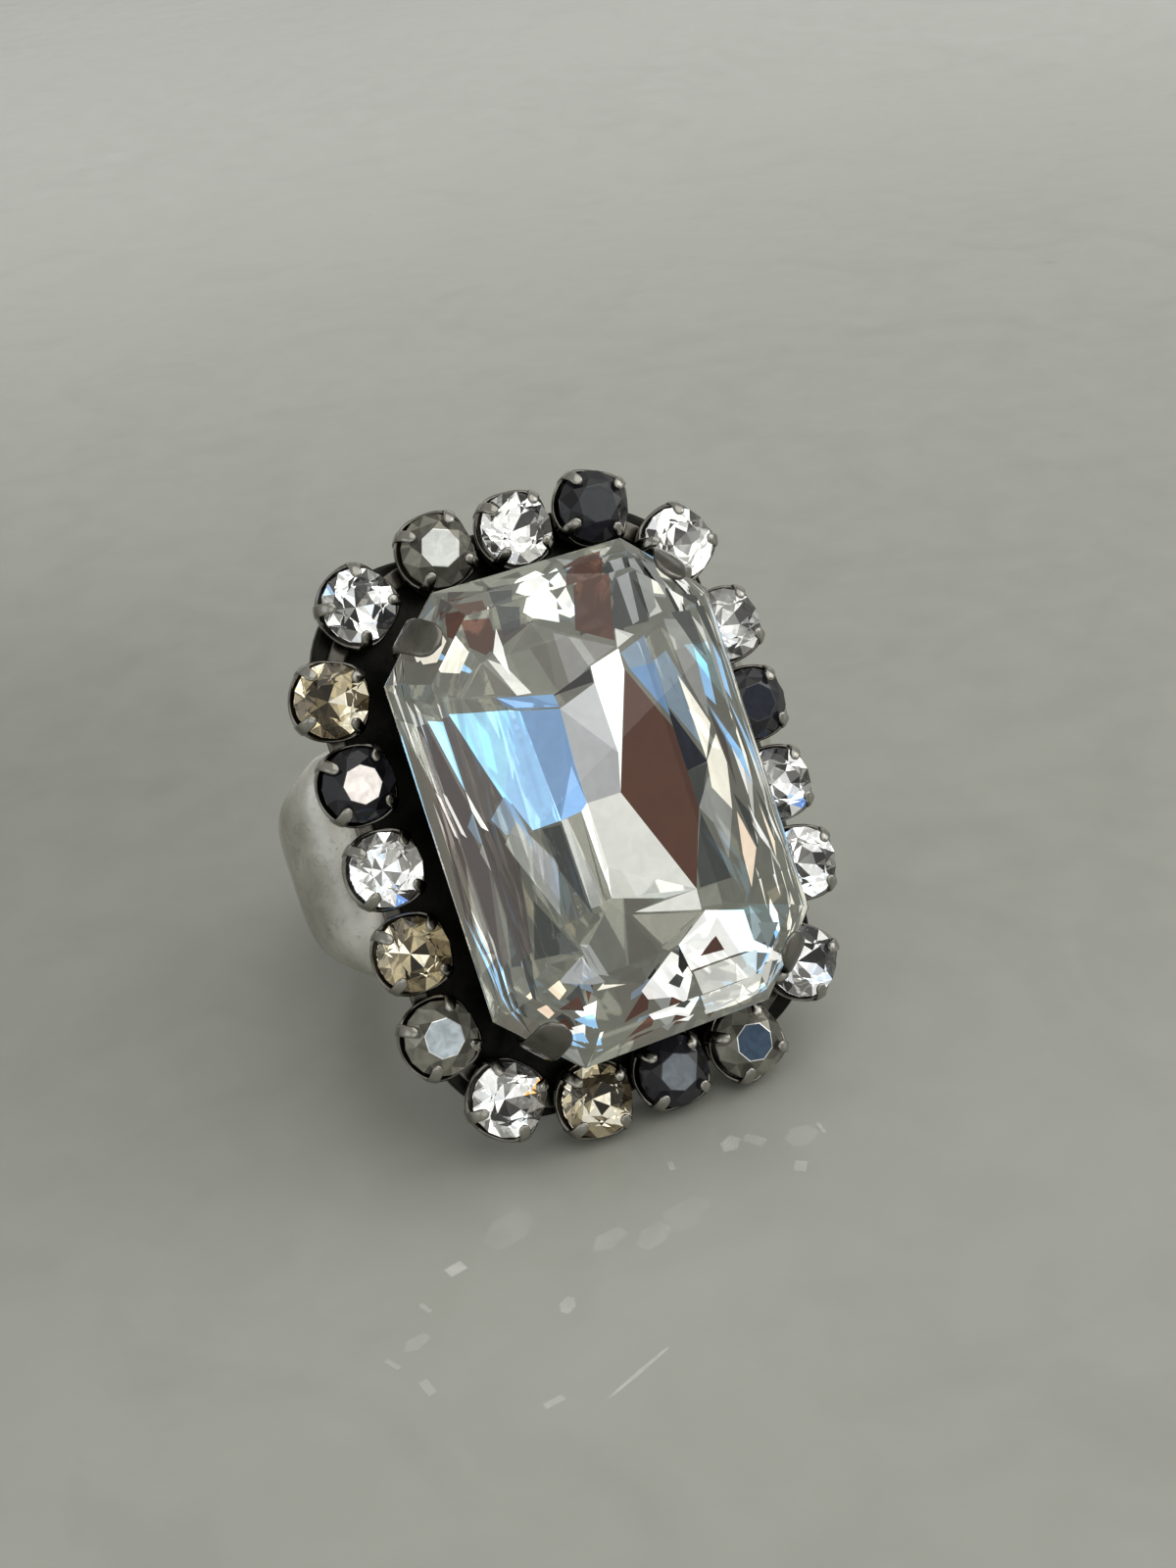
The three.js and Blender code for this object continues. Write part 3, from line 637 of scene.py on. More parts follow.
# %% The facet plan
PLAN = [
    ("umber", [(-7.5, 6.4), (-6.2, 6.3), (-5.5, 1.4), (-6.5, 0.7), (-5.9, -1.8), (-6.7, -6.2), (-7.4, -6.4)]),
    ("khaki", [(-7.2, 7.2), (-5.0, 8.3), (-1.4, 9.7), (2.6, 7.3), (0.9, 6.75), (-1.2, 5.9), (-4.4, 6.8)]),
    ("olive", [(-3.0, 8.5), (-1.4, 9.7), (-0.9, 8.4), (-1.2, 5.9), (-2.7, 6.2)]),
    ("grey", [(-0.4, 8.9), (2.6, 7.3), (0.9, 6.75), (-0.4, 6.0)]),
    ("pearl", [(-4.2, 8.6), (-3.4, 8.0), (-2.5, 6.3), (-3.3, 6.4)]),
    ("moss", [(-7.6, 9.8), (-6.6, 9.0), (-5.2, 8.1), (-6.4, 7.2), (-7.8, 7.8)]),
    ("cream", [(-6.9, 9.1), (-6.4, 10.0), (-5.4, 10.2), (-5.0, 9.2), (-5.8, 8.3), (-6.7, 8.6)]),
    ("brown", [(-4.9, 9.4), (-4.9, 10.8), (-3.4, 10.5), (-3.4, 9.2), (-4.2, 8.8)]),
    ("white", [(-3.8, 8.8), (-3.25, 9.9), (-3.2, 8.9), (-3.3, 7.5)]),
    ("slate", [(-3.0, 9.4), (-2.9, 11.0), (-1.7, 10.6), (-2.0, 9.6)]),
    ("white", [(-1.6, 10.3), (-1.2, 10.9), (-0.1, 11.3), (0.3, 10.5), (0.1, 9.3), (-1.2, 9.9)]),
    ("white", [(0.3, 10.4), (1.0, 10.9), (1.2, 9.4), (0.5, 9.8)]),
    ("brown", [(1.4, 10.8), (2.4, 11.4), (3.6, 11.4), (2.7, 7.6), (0.8, 8.7)]),
    ("slate", [(3.4, 10.5), (4.9, 10.7), (4.8, 8.0), (3.1, 8.1)]),
    ("silver", [(3.8, 10.6), (4.5, 10.7), (4.3, 8.2), (3.9, 8.1)]),
    ("black", [(4.6, 10.3), (5.2, 9.5), (4.9, 8.2), (4.7, 9.0)]),
    ("pearl", [(2.9, 8.2), (3.8, 7.6), (2.7, 7.2)]),
    ("grey", [(4.9, 10.6), (5.6, 10.1), (5.4, 8.6), (4.9, 8.3)]),
    ("black", [(-1.6, 5.8), (0.9, 6.6), (0.9, 5.9), (-0.9, 5.85)]),
    ("mid blue", [(-4.4, 6.6), (-1.4, 5.9), (-1.3, 5.2), (-3.4, 5.7), (-4.0, 6.0)]),
    ("pale blue", [(-7.0, 6.5), (-3.9, 5.8), (-5.6, 1.4)]),
    ("sky", [(-3.9, 5.8), (-3.4, 5.6), (-3.1, -0.4), (-4.7, -0.4), (-5.3, 1.2), (-5.6, 1.4)]),
    ("mid blue", [(-3.4, 5.6), (-1.3, 5.1), (-1.5, 0.0), (-1.9, -0.3), (-3.1, -0.4)]),
    ("slate blue", [(-6.6, 0.8), (-5.6, 1.7), (-5.3, 1.1), (-4.9, -0.8), (-5.5, -0.2), (-6.1, -0.2)]),
    ("silver", [(-1.3, 5.1), (1.0, 5.85), (1.0, 2.0), (0.45, 0.0), (-1.5, 0.0)]),
    ("white", [(1.0, 6.7), (2.75, 7.15), (2.7, 6.0), (0.45, 0.0), (1.0, 2.0)]),
    ("brown", [(2.75, 6.0), (4.3, 2.4), (4.3, -2.0), (2.8, -6.0), (0.45, 0.0)]),
    ("navy", [(4.3, 3.6), (5.5, 0.15), (4.3, 0.0)]),
    ("slate", [(4.3, 0.0), (5.5, 0.1), (4.6, -1.7), (4.3, -2.0)]),
    ("slate blue", [(2.8, 6.9), (4.35, 7.4), (4.4, 5.9), (3.0, 6.0)]),
    ("mid blue", [(3.0, 6.0), (4.4, 5.9), (4.35, 3.0)]),
    ("slate blue", [(4.4, 6.0), (5.2, 6.3), (5.8, 3.8), (5.5, 1.0), (4.4, 3.5)]),
    ("cream", [(5.4, 4.9), (5.8, 3.7), (6.3, 2.0), (5.5, 0.3)]),
    ("grey", [(5.6, 7.9), (6.5, 7.6), (6.9, 5.0), (6.3, 2.3), (5.8, 4.6)]),
    ("sky", [(6.7, 6.0), (7.1, 5.0), (6.9, 2.8), (6.5, 3.5)]),
    ("slate", [(6.1, 8.1), (7.1, 7.9), (7.2, 5.4), (6.7, 6.2), (6.4, 7.2)]),
    ("moss", [(-4.7, -0.4), (-3.1, -0.4), (-3.0, -5.3), (-4.6, -5.5), (-4.05, -2.3)]),
    ("olive", [(-3.1, -0.4), (-1.95, -0.3), (-1.85, -5.0), (-2.3, -5.2), (-3.0, -5.3)]),
    ("grey", [(-3.1, -0.4), (-2.75, -0.4), (-2.2, -4.8), (-2.4, -5.2), (-3.0, -5.2)]),
    ("pearl", [(-1.9, -0.3), (-1.5, 0.0), (0.45, 0.0), (2.8, -6.0), (1.0, -5.95), (-1.8, -5.05)]),
    ("olive", [(-1.8, -5.05), (1.0, -5.95), (-0.9, -6.1), (-3.0, -5.3)]),
    ("pearl", [(-0.9, -6.1), (2.8, -6.0), (2.7, -7.1)]),
    ("grey", [(-5.4, 0.3), (-4.0, -2.3), (-4.7, -5.0), (-5.9, -1.8), (-6.3, -0.6)]),
    ("moss", [(-5.9, -1.8), (-4.7, -5.0), (-4.1, -7.3), (-6.7, -6.3)]),
    ("olive", [(-6.7, -6.3), (-4.1, -7.3), (-3.6, -9.0), (-1.6, -9.6), (2.6, -7.2), (-0.8, -6.1),
               (-3.0, -5.3), (-4.6, -5.5)]),
    ("moss", [(-3.9, -7.0), (-3.3, -8.8), (-1.6, -9.6), (-0.2, -8.4), (-1.2, -6.2), (-2.0, -5.3)]),
    ("khaki", [(-1.0, -6.2), (0.0, -8.3), (2.6, -7.2)]),
    ("slate", [(-5.8, -3.8), (-4.3, -7.0), (-6.7, -6.6)]),
    ("silver", [(-5.0, -0.5), (-4.0, -2.5), (-4.5, -4.3), (-5.2, -2.2)]),
    ("slate", [(-4.2, -0.5), (-3.2, -0.6), (-3.0, -5.5), (-4.0, -2.8)]),
    ("grey", [(-4.2, -6.7), (-3.7, -6.9), (-3.2, -8.7), (-4.0, -8.3)]),
    ("silver", [(-5.9, -8.1), (-4.3, -7.3), (-3.5, -8.9), (-4.2, -8.8)]),
    ("peach", [(-6.5, -8.2), (-5.8, -8.0), (-5.6, -8.6), (-6.1, -8.9)]),
    ("white", [(-1.8, -9.9), (0.4, -8.6), (0.9, -9.1), (1.1, -10.0), (0.3, -11.2), (-0.3, -10.7),
               (-1.6, -10.4)]),
    ("black", [(0.5, -9.4), (0.9, -8.5), (1.1, -9.5), (0.6, -9.8)]),
    ("slate", [(-0.3, -10.0), (0.2, -10.4), (0.6, -10.0), (0.3, -9.7)]),
    ("white", [(0.9, -8.4), (2.9, -7.2), (4.9, -7.8), (4.9, -9.8), (1.1, -9.8)]),
    ("brown", [(1.8, -9.3), (3.0, -8.6), (3.2, -9.4)]),
    ("pearl", [(1.2, -9.9), (4.9, -9.9), (4.4, -11.1), (3.0, -11.4), (1.3, -11.2)]),
    ("white", [(3.2, -11.3), (3.6, -10.2), (3.9, -11.2)]),
    ("slate", [(3.0, -6.0), (3.2, -4.9), (4.3, -2.3), (4.7, -4.9), (4.8, -6.0)]),
    ("olive", [(2.9, -6.1), (4.8, -6.0), (5.0, -7.3), (2.8, -7.0)]),
    ("grey", [(4.3, -2.0), (5.3, -0.6), (6.0, -2.6), (5.0, -5.0), (4.8, -3.0)]),
    ("cream", [(5.5, 0.2), (6.4, 1.4), (6.5, -0.2), (6.0, -2.6), (5.3, -1.2)]),
    ("peach", [(6.2, -2.8), (6.6, -4.9), (5.7, -6.8), (5.8, -5.0)]),
    ("olive", [(6.6, -5.2), (6.9, -4.2), (7.3, -5.2), (7.1, -6.5), (6.2, -6.5)]),
    ("white", [(-7.7, 3.0), (-7.4, 2.6), (-6.9, 0.3), (-7.2, 0.6)]),
]

# %% [markdown]
# The rim of the pavilion carries many thin steps. A seeded dealer lays narrow slivers along the two long
# sides and small triangles at both ends, under the facets of the plan.

# %% Slivers along the rim
rng = np.random.default_rng(7)


def slivers(count, x_range, y_range, length, width, spread_angle, tones):
    """Thin triangles: a middle, a half length at an angle near the y axis and a half width across it."""
    middle = np.column_stack([rng.uniform(*x_range, count), rng.uniform(*y_range, count)])
    angle = rng.normal(0, spread_angle, count)
    long = rng.uniform(0.5, 1.0, count)[:, None] * length
    wide = rng.uniform(0.5, 1.0, count)[:, None] * width
    along = np.column_stack([np.sin(angle), np.cos(angle)])
    side = np.column_stack([along[:, 1], -along[:, 0]])
    skew = rng.uniform(-0.6, 0.6, count)[:, None]
    third = middle + side * wide + along * long * skew
    corners = np.stack([middle + along * long, middle - along * long, third], 1)
    names = rng.choice(tones, count)
    return [(str(name), corner.tolist()) for name, corner in zip(names, corners)]


QUIET = ["olive", "khaki", "moss", "umber", "grey", "slate", "moss", "brown"]
BRIGHT = ["white", "pearl", "cream", "grey", "slate blue", "olive", "slate", "umber", "black", "sky"]
rim_plan = (
    slivers(44, (-8.6, -7.0), (-8.5, 8.5), 2.6, 0.45, 0.10, BRIGHT + QUIET)
    + slivers(44, (6.2, 8.3), (-8.5, 8.5), 2.6, 0.5, 0.12, BRIGHT + ["cream", "white"])
    + slivers(30, (-6.5, 6.5), (8.6, 11.6), 1.3, 1.2, 1.2, QUIET + BRIGHT)
    + slivers(30, (-6.5, 6.5), (-11.6, -8.6), 1.3, 1.2, 1.2, QUIET + BRIGHT)
)
print(len(PLAN), "planned facets over", len(rim_plan), "rim slivers")

# %% [markdown]
# ## Cutting the big crystal
#
# The drawing becomes a solid: the plan's corners drop to the pavilion's depth, a thin girdle stands on
# its edge, and two steps of crown lead up to the flat top.

# %% Build the crystal
CUT_KIND, NEAREST = 4, 1e-4


def anticlockwise(corners):
    """The same corners in anticlockwise order, which a positive area by the shoelace rule tells."""
    x, y = np.asarray(corners, float).T
    area = np.sum(x * np.roll(y, -1) - np.roll(x, -1) * y)
    return corners if area > 0 else corners[::-1]


def triangulate(outline, drawings, creases):
    """Lays the drawings over the outline and returns points, faces and the top drawing of each face."""
    points, faces = [tuple(p) for p in outline], [list(range(len(outline)))]
    for _, drawing in drawings:
        start = len(points)
        points += [tuple(p) for p in drawing]
        faces.append(list(range(start, start + len(drawing))))
    edges = []
    for crease in creases:
        start = len(points)
        points += [tuple(p) for p in crease]
        edges += [(start + k, start + k + 1) for k in range(len(crease) - 1)]
    # Kind 4 keeps the drawn edges and adds only those that each face needs to be one closed outline.
    done = delaunay_2d_cdt([Vector(p) for p in points], edges, faces, CUT_KIND, NEAREST)
    flat = np.array([tuple(v) for v in done[0]])
    return flat, done[2], [max(sources) if sources else 0 for sources in done[5]]


girdle = octagon()
inner = octagon(BREAK_INSET)
keel = [(0, KEEL_HALF + 0.3), (0, -KEEL_HALF - 0.3)]
drawings = [(tone, anticlockwise(behind(corners))) for tone, corners in rim_plan + PLAN]
creases = [np.vstack([inner, inner[:1]]), keel]
creases += [np.array([g * 0.985, i]) for g, i in zip(girdle, inner)]
flat, flat_faces, owners = triangulate(girdle, drawings, creases)
tone_names = ["olive"] + [tone for tone, _ in drawings]

depth = pavilion_depth(flat)
pavilion = np.column_stack([flat, GIRDLE_LEVEL - depth])
pavilion_faces = [list(face)[::-1] for face in flat_faces]

edge = [int(np.argmin(np.linalg.norm(flat - corner, axis=1))) for corner in girdle]
steps = [(0.0, GIRDLE_HALF), (CROWN_STEP_INSET, GIRDLE_HALF + CROWN_STEP_HEIGHT),
         (TABLE_INSET, GIRDLE_HALF + CROWN_HEIGHT)]
crown = np.concatenate([np.column_stack([octagon(inset), np.full(8, GIRDLE_LEVEL + rise)])
                        for inset, rise in steps])
first = len(pavilion)
rings = [edge] + [list(range(first + 8 * k, first + 8 * k + 8)) for k in range(len(steps))]
crown_faces = [[low[k], low[(k + 1) % 8], high[(k + 1) % 8], high[k]]
               for low, high in zip(rings, rings[1:]) for k in range(8)] + [rings[-1]]

crystal = make_piece("cut_centre_crystal", np.vstack([pavilion, crown]), pavilion_faces + crown_faces,
                     clear_glass, big_foil, smooth=False, weld=False)
is_foil = np.arange(len(crystal.data.polygons)) < len(pavilion_faces)
crystal.data.polygons.foreach_set("material_index", is_foil.astype(np.int32))
tones = [PAINTED_REFLECTION_TONES[tone_names[owner]] for owner in owners] + [(1.0, 1.0, 1.0)] * len(crown_faces)
add_tones(crystal, tones)
settle(crystal, "centre_crystal_glass", "centre_crystal")
print("centre crystal:", len(pavilion_faces), "foiled facets and", len(crown_faces), "clear ones")

# %% [markdown]
# ## The small round stones
#
# The border's stones are chatons: a flat octagonal top, a crown of kites and triangles, a thin girdle and
# a pointed back of 32 wedges. In the clear and champagne ones the wedges alternate between painted
# highlight and painted shade, which gives the star of reflected light that meets in the middle. The black
# and the hematite ones are opaque, so only their crowns show, with a narrow painted highlight around the
# flat.

# %% Where the stones stand
ORDER = ["top_1", "top_2", "top_3", "top_right", "right_1", "right_2", "right_3", "right_4", "bottom_right",
         "bottom_1", "bottom_2", "bottom_3", "bottom_left", "left_1", "left_2", "left_3", "left_4", "left_5",
         "top_left"]
slots = {entry["node"]: entry["material_slot"] for entry in frame["record"]["subparts"]}
KIND = {name: slots["stone_" + name].replace("_stone", "") for name in ORDER}
boxes = {name: node_box("stone_" + name) for name in ORDER}
CENTRE = {name: (low[:2] + high[:2]) / 2 for name, (low, high) in boxes.items()}
STONE_GIRDLE, TIP_LIMIT = 13.86, 0.035
previous = {name: ORDER[k - 1] for k, name in enumerate(ORDER)}
following = {name: ORDER[(k + 1) % len(ORDER)] for k, name in enumerate(ORDER)}
CHAIN_ANGLE = {name: math.atan2(*(CENTRE[following[name]] - CENTRE[previous[name]])[::-1]) for name in ORDER}
TILT = {name: rng.uniform(-TIP_LIMIT, TIP_LIMIT, 2) for name in ORDER}
print("stones:", {kind: list(KIND.values()).count(kind) for kind in sorted(set(KIND.values()))})


def stand(points, name):
    """Turns a stone or cup along the chain, tips it a little, and stands it at its place."""
    tip_x, tip_y = TILT[name]
    axes, scale = np.linalg.qr(np.array([[1, 0, tip_y], [0, 1, -tip_x], [-tip_y, tip_x, 1]]))
    tip = axes * np.sign(np.diag(scale))
    return turned(points, CHAIN_ANGLE[name]) @ tip.T + (*CENTRE[name], STONE_GIRDLE)


# %% A chaton
STONE_RADIUS, STONE_TABLE, STONE_CROWN, STONE_DEPTH = 1.93, 1.06, 0.80, 1.75
KITE_RADIUS, KITE_HEIGHT = 1.48, 0.50
GIRDLE_TOP, GIRDLE_BOTTOM = 0.09, -0.08
BACK_RADIUS, BACK_HEIGHT = 0.92, -1.08
TABLE_EDGE, TABLE_DROP = 0.05, 0.03


def polar(radius, z, count, shift=0.0):
    """Points at even angles on a level circle, turned by a share of one step."""
    turn = 2 * np.pi * (np.arange(count) + shift) / count
    return np.column_stack([radius * np.cos(turn), radius * np.sin(turn), np.full(count, z)])


def chaton():
    """Rings of corners: table (8), kite tips (8, between them), girdle top and bottom (16), back (8), point.
    Returns the points, the faces and how many of the faces are crown."""
    rings = [polar(STONE_TABLE - TABLE_EDGE, STONE_CROWN, 8), polar(STONE_TABLE, STONE_CROWN - TABLE_DROP, 8),
             polar(KITE_RADIUS, KITE_HEIGHT, 8, 0.5), polar(STONE_RADIUS, GIRDLE_TOP, 16),
             polar(STONE_RADIUS, GIRDLE_BOTTOM, 16), polar(BACK_RADIUS, BACK_HEIGHT, 8, 0.5),
             polar(0.0, -STONE_DEPTH, 1)]
    starts = np.cumsum([0] + [len(r) for r in rings])
    table, rim, kite, top, bottom, back, point = starts[:7]
    k = np.arange(8)
    n = (k + 1) % 8
    j = np.arange(16)
    crown = [list(range(table, table + 8))]
    crown += facets(rim + k, rim + n, table + n, table + k)
    crown += facets(rim + k, kite + k, rim + n)
    crown += facets(kite + k, top + 2 * n, kite + n, rim + n)
    crown += facets(kite + k, top + 2 * k, top + 2 * k + 1)
    crown += facets(kite + k, top + 2 * k + 1, top + (2 * k + 2) % 16)
    crown += facets(top + j, bottom + j, bottom + (j + 1) % 16, top + (j + 1) % 16)
    wedges = facets(back + k, bottom + 2 * k + 1, bottom + 2 * k)
    wedges += facets(back + k, bottom + (2 * k + 2) % 16, bottom + 2 * k + 1)
    wedges += facets(back + k, back + n, bottom + 2 * n)
    wedges += facets(back + k, point, back + n)
    return np.vstack(rings), crown, wedges


shape, crown_part, back_part = chaton()
print("a chaton has", len(crown_part), "crown faces and", len(back_part), "foiled ones")

# %% [markdown]
# Every stone gets its own tones. A clear one deals painted highlights and painted shade to its wedges;
# champagne does the same in smoky yellows. Hematite is grey metal-coated glass, black is plain black
# glass. An opaque crown has a dull tone with its greatest strength and a painted highlight for its edge,
# and the flat top of each opaque stone has a painted reflection of its own, because it mirrors one patch
# of the room. These two glow about half as much as foil, and that glow is painted light too.

# %% Finishes of the small stones
COATING_GLOW = 0.45
SWAPPED_SHARE, SPARK_SHARE = 0.28, 0.4

smoke_glass = crystal_glass("champagne crystal", (0.94, 0.92, 0.83))
small_foil = foil("small stone foil")


def coated_glass(name, metallic, roughness, coat, shine):
    """Opaque glass under a clear gloss, cloudy in tone, with each facet's tone from the attribute, painted
    reflections and highlights among them, and a painted glow.
    """
    veil = ((0.35, 0.72), (0.65, 1.0))
    material, tree, shader, cloud = facet_painted_light(name, (1500, 5, 0.8), veil, COATING_GLOW)
    plug(tree, shader, {"Metallic": metallic, "Roughness": spread(tree, cloud, *roughness),
                        "Coat Weight": coat, "Coat Roughness": 0.04, "Specular IOR Level": shine})
    return material


hematite = coated_glass("hematite-coated glass", 1.0, (0.10, 0.28), 0.3, 0.5)
jet = coated_glass("black glass", 0.0, (0.08, 0.2), 0.15, 0.35)

# Painted light of the foiled wedges: lit tones stand for highlights and dark ones for shade, in clear and
# smoky kinds, and the sparks are painted coloured fire.
CLEAR_PAINTED_HIGHLIGHTS = np.array([(1.25, 1.25, 1.22), (1.1, 1.1, 1.07), (0.93, 0.97, 1.0), (0.85, 0.85, 0.82)])
CLEAR_PAINTED_SHADE = np.array([(0.05, 0.048, 0.044), (0.20, 0.195, 0.18), (0.34, 0.34, 0.32), (0.025, 0.025, 0.024)])
SMOKE_PAINTED_HIGHLIGHTS = np.array([(1.10, 1.03, 0.82), (0.52, 0.46, 0.32), (1.05, 1.01, 0.88), (0.31, 0.27, 0.18)])
SMOKE_PAINTED_SHADE = np.array([(0.055, 0.042, 0.025), (0.11, 0.09, 0.055), (0.16, 0.132, 0.085), (0.02, 0.016, 0.01)])
SPARK = np.array([(1.0, 0.50, 0.12), (0.25, 0.45, 1.0), (0.50, 0.70, 1.0)])
# For each opaque kind: its dull tone, the greatest strength of that tone, and a painted highlight for the
# edge around the flat.
OPAQUE_TONES = {"hematite": ((0.125, 0.122, 0.100), 1.7, (0.85, 0.86, 0.85)),
                "black": ((0.008, 0.008, 0.010), 2.2, (0.05, 0.055, 0.06))}
# Each opaque stone's flat top is a painted reflection of the patch of room it mirrors.
PAINTED_FLAT_REFLECTION = {
    "top_1": (0.46, 0.47, 0.455), "left_1": (0.46, 0.52, 0.56), "bottom_1": (0.055, 0.085, 0.13),
    "top_3": (0.02, 0.024, 0.028), "right_2": (0.012, 0.015, 0.025), "bottom_2": (0.15, 0.17, 0.19),
    "left_4": (1.10, 1.02, 0.97),
}


def painted_wedge_tones(kind):
    """Painted highlight and painted shade on the wedges by turns, a share of them swapped at random, and now
    and then a painted spark.
    """
    bright, dark = (CLEAR_PAINTED_HIGHLIGHTS, CLEAR_PAINTED_SHADE) if kind == "clear" else (SMOKE_PAINTED_HIGHLIGHTS, SMOKE_PAINTED_SHADE)
    count = len(back_part)
    lit = (np.arange(count) % 2 == 0) ^ (rng.random(count) < SWAPPED_SHARE)
    tones = np.where(lit[:, None], bright[rng.integers(0, 4, count)], dark[rng.integers(0, 4, count)])
    if kind == "clear" and rng.random() < SPARK_SHARE:
        tones[rng.integers(0, 16)] = SPARK[rng.integers(0, 3)]
    return tones


def crown_tones(name, kind):
    """An opaque stone's crown: the flat's painted reflection, a painted highlight around it, and dull facets
    below.
    """
    count = len(crown_part)
    base, most, painted_edge_highlight = OPAQUE_TONES[kind]
    tones = np.array([base]) * rng.uniform(0.5, most, (count, 1))
    tones[0] = PAINTED_FLAT_REFLECTION[name]
    tones[1:9] = painted_edge_highlight
    return tones


# %% Set the small stones
FINISHES = {"clear": (clear_glass, small_foil), "champagne": (smoke_glass, small_foil),
            "hematite": (hematite,), "black": (jet,)}
for name in ORDER:
    kind = KIND[name]
    spun = turned(shape, rng.uniform(0, math.pi / 4))
    stone = make_piece("set_stone_" + name, stand(spun, name), crown_part + back_part, *FINISHES[kind],
                       smooth=False, weld=False)
    if small_foil in FINISHES[kind]:
        is_back = np.arange(len(stone.data.polygons)) >= len(crown_part)
        stone.data.polygons.foreach_set("material_index", is_back.astype(np.int32))
        add_tones(stone, np.vstack([np.ones((len(crown_part), 3)), painted_wedge_tones(kind)]))
    else:
        body = crown_tones(name, kind)
        add_tones(stone, np.vstack([body, np.repeat(body[9:10], len(back_part), axis=0)]))
    settle(stone, kind + "_stone", "stone_" + name)
print(len(ORDER), "stones set, each with", len(crown_part) + len(back_part), "facets")

# %% [markdown]
# ## The cups
#
# Each small stone sits in a stamped cup: a bowl, slightly square when seen from above, with four fingers
# of metal at its corners that are pressed down over the stone. The bowl is one closed sheet: every column
# starts under the foot, climbs the outside to the rim, turns over it and comes down inside. A finger is
# the same kind of flat strip as the big claws, laid along the bowl's side.

# %% A cup
CUP_FOOT, CUP_SHEET = -2.11, 0.16
COLUMNS, LEVELS = 96, 26
FINGER_WIDTH, FINGER_THICKNESS = 0.66, 0.22


def bowl_surface():
    """Each column follows the side line to the rim, whose height rises with the cosine of four times the
    angle, highest at the fingers. Radii shrink by 4 percent halfway between them, which squares the bowl.
    The inside is the outside, moved in by the sheet's thickness."""
    side = np.array([(0.0, CUP_FOOT), (0.9, CUP_FOOT), (1.40, CUP_FOOT), (1.64, -1.95), (2.02, -1.42),
                     (2.17, -0.90), (2.22, -0.30), (2.24, 0.10)])
    side = soften(even(side, 70), 4, closed=False)
    run = np.concatenate([[0], np.cumsum(np.linalg.norm(np.diff(side, axis=0), axis=1))])
    slope = np.gradient(side, axis=0)
    slope /= np.linalg.norm(slope, axis=1)[:, None]
    angle = 2 * np.pi * np.arange(COLUMNS) / COLUMNS
    corner_share = (1 - np.cos(4 * angle)) / 2
    length = run[-1] * (0.80 + 0.13 * corner_share)

    steps = np.linspace(0, 1, LEVELS)
    fraction = np.concatenate([steps, steps[::-1]])
    sheet = CUP_SHEET * np.repeat([0.0, 1.0], LEVELS)[:, None]
    reach = fraction[:, None] * length[None, :]
    radius = np.interp(reach, run, side[:, 0])
    height = np.interp(reach, run, side[:, 1])
    radius = np.maximum(radius - np.interp(reach, run, slope[:, 1]) * sheet * np.clip(radius / 0.5, 0, 1), 0)
    height = height + np.interp(reach, run, slope[:, 0]) * sheet
    radius = radius * (1 - 0.04 * (1 - corner_share[None, :]) * np.clip(radius / 2, 0, 1))
    points = np.stack([radius * np.cos(angle), radius * np.sin(angle), height], -1).reshape(-1, 3)
    return points, grid_faces(2 * LEVELS, COLUMNS)


def cup_finger(turn):
    """A strip up the bowl's side and over the stone, widest at its foot, with a coin-edged tip."""
    side = np.array([(1.84, -1.62), (2.10, -1.05), (2.19, -0.45), (2.17, 0.06), (2.00, 0.38), (1.76, 0.58),
                     (1.54, 0.70), (1.33, 0.79)])
    path = soften(even(side, 44), 3, closed=False)
    t = np.linspace(0, 1, len(path))
    width = FINGER_WIDTH * (1.1 - 0.22 * t)
    thickness = FINGER_THICKNESS * (1 + 0.35 * np.exp(-((t - 0.85) / 0.12) ** 2))
    out = np.array([math.cos(turn), math.sin(turn)])
    return bent_strip(path, out, width, thickness, (0.06, 0.14), 16)


finger_turns = np.pi / 4 + np.pi / 2 * np.arange(4)
cup_points, cup_faces = merge([bowl_surface()] + [cup_finger(turn) for turn in finger_turns])
for name in ORDER:
    cup = make_piece("prong_cup_" + name, stand(cup_points, name), cup_faces, dark_metal)
    place = ring_points(cup) - (*CENTRE[name], STONE_GIRDLE)
    reach_out = np.hypot(place[:, 0], place[:, 1])
    # The fingers and the bowl's outer edge are paler: partly wear, partly a painted highlight where light
    # catches them.
    proud = np.clip((place[:, 2] + 0.1) / 0.6, 0, 1)
    edge_wear_and_highlight = 0.45 * np.exp(-((place[:, 2] + 0.45) / 0.18) ** 2) * (reach_out > 2.05)
    add_wear_and_painted_light(cup, np.clip(0.06 + 0.32 * proud + 0.6 * edge_wear_and_highlight, 0, 0.6))
    settle(cup, "dark_setting_metal", "cup_" + name)
print("each cup has", len(cup.data.polygons), "faces")

# %% [markdown]
# ## The links
#
# Flat little bars under the cups tie the chain together. Each is a superellipsoid: a box whose edges and
# corners are rounded by raising sines and cosines to a power below one.

# %% The links
LINK_WIDTH, LINK_HEIGHT = 1.0, 0.3
CUP_ROOM = 3.2


def rounded_bar(length, width, height, count=20, square=0.45):
    """Longitude u and latitude v: each of x, y and z is a product of cosines and sines to a power."""
    u = 2 * np.pi * np.arange(2 * count) / (2 * count)
    v = np.linspace(-np.pi / 2, np.pi / 2, count)
    across_v = signed_power(np.cos(v), square)[:, None]
    x = across_v * signed_power(np.cos(u), square)
    y = across_v * signed_power(np.sin(u), square)
    z = signed_power(np.sin(v), square)[:, None] + 0 * u
    points = np.stack([x * length / 2, y * width / 2, z * height / 2], -1).reshape(-1, 3)
    return points, grid_faces(count, 2 * count)


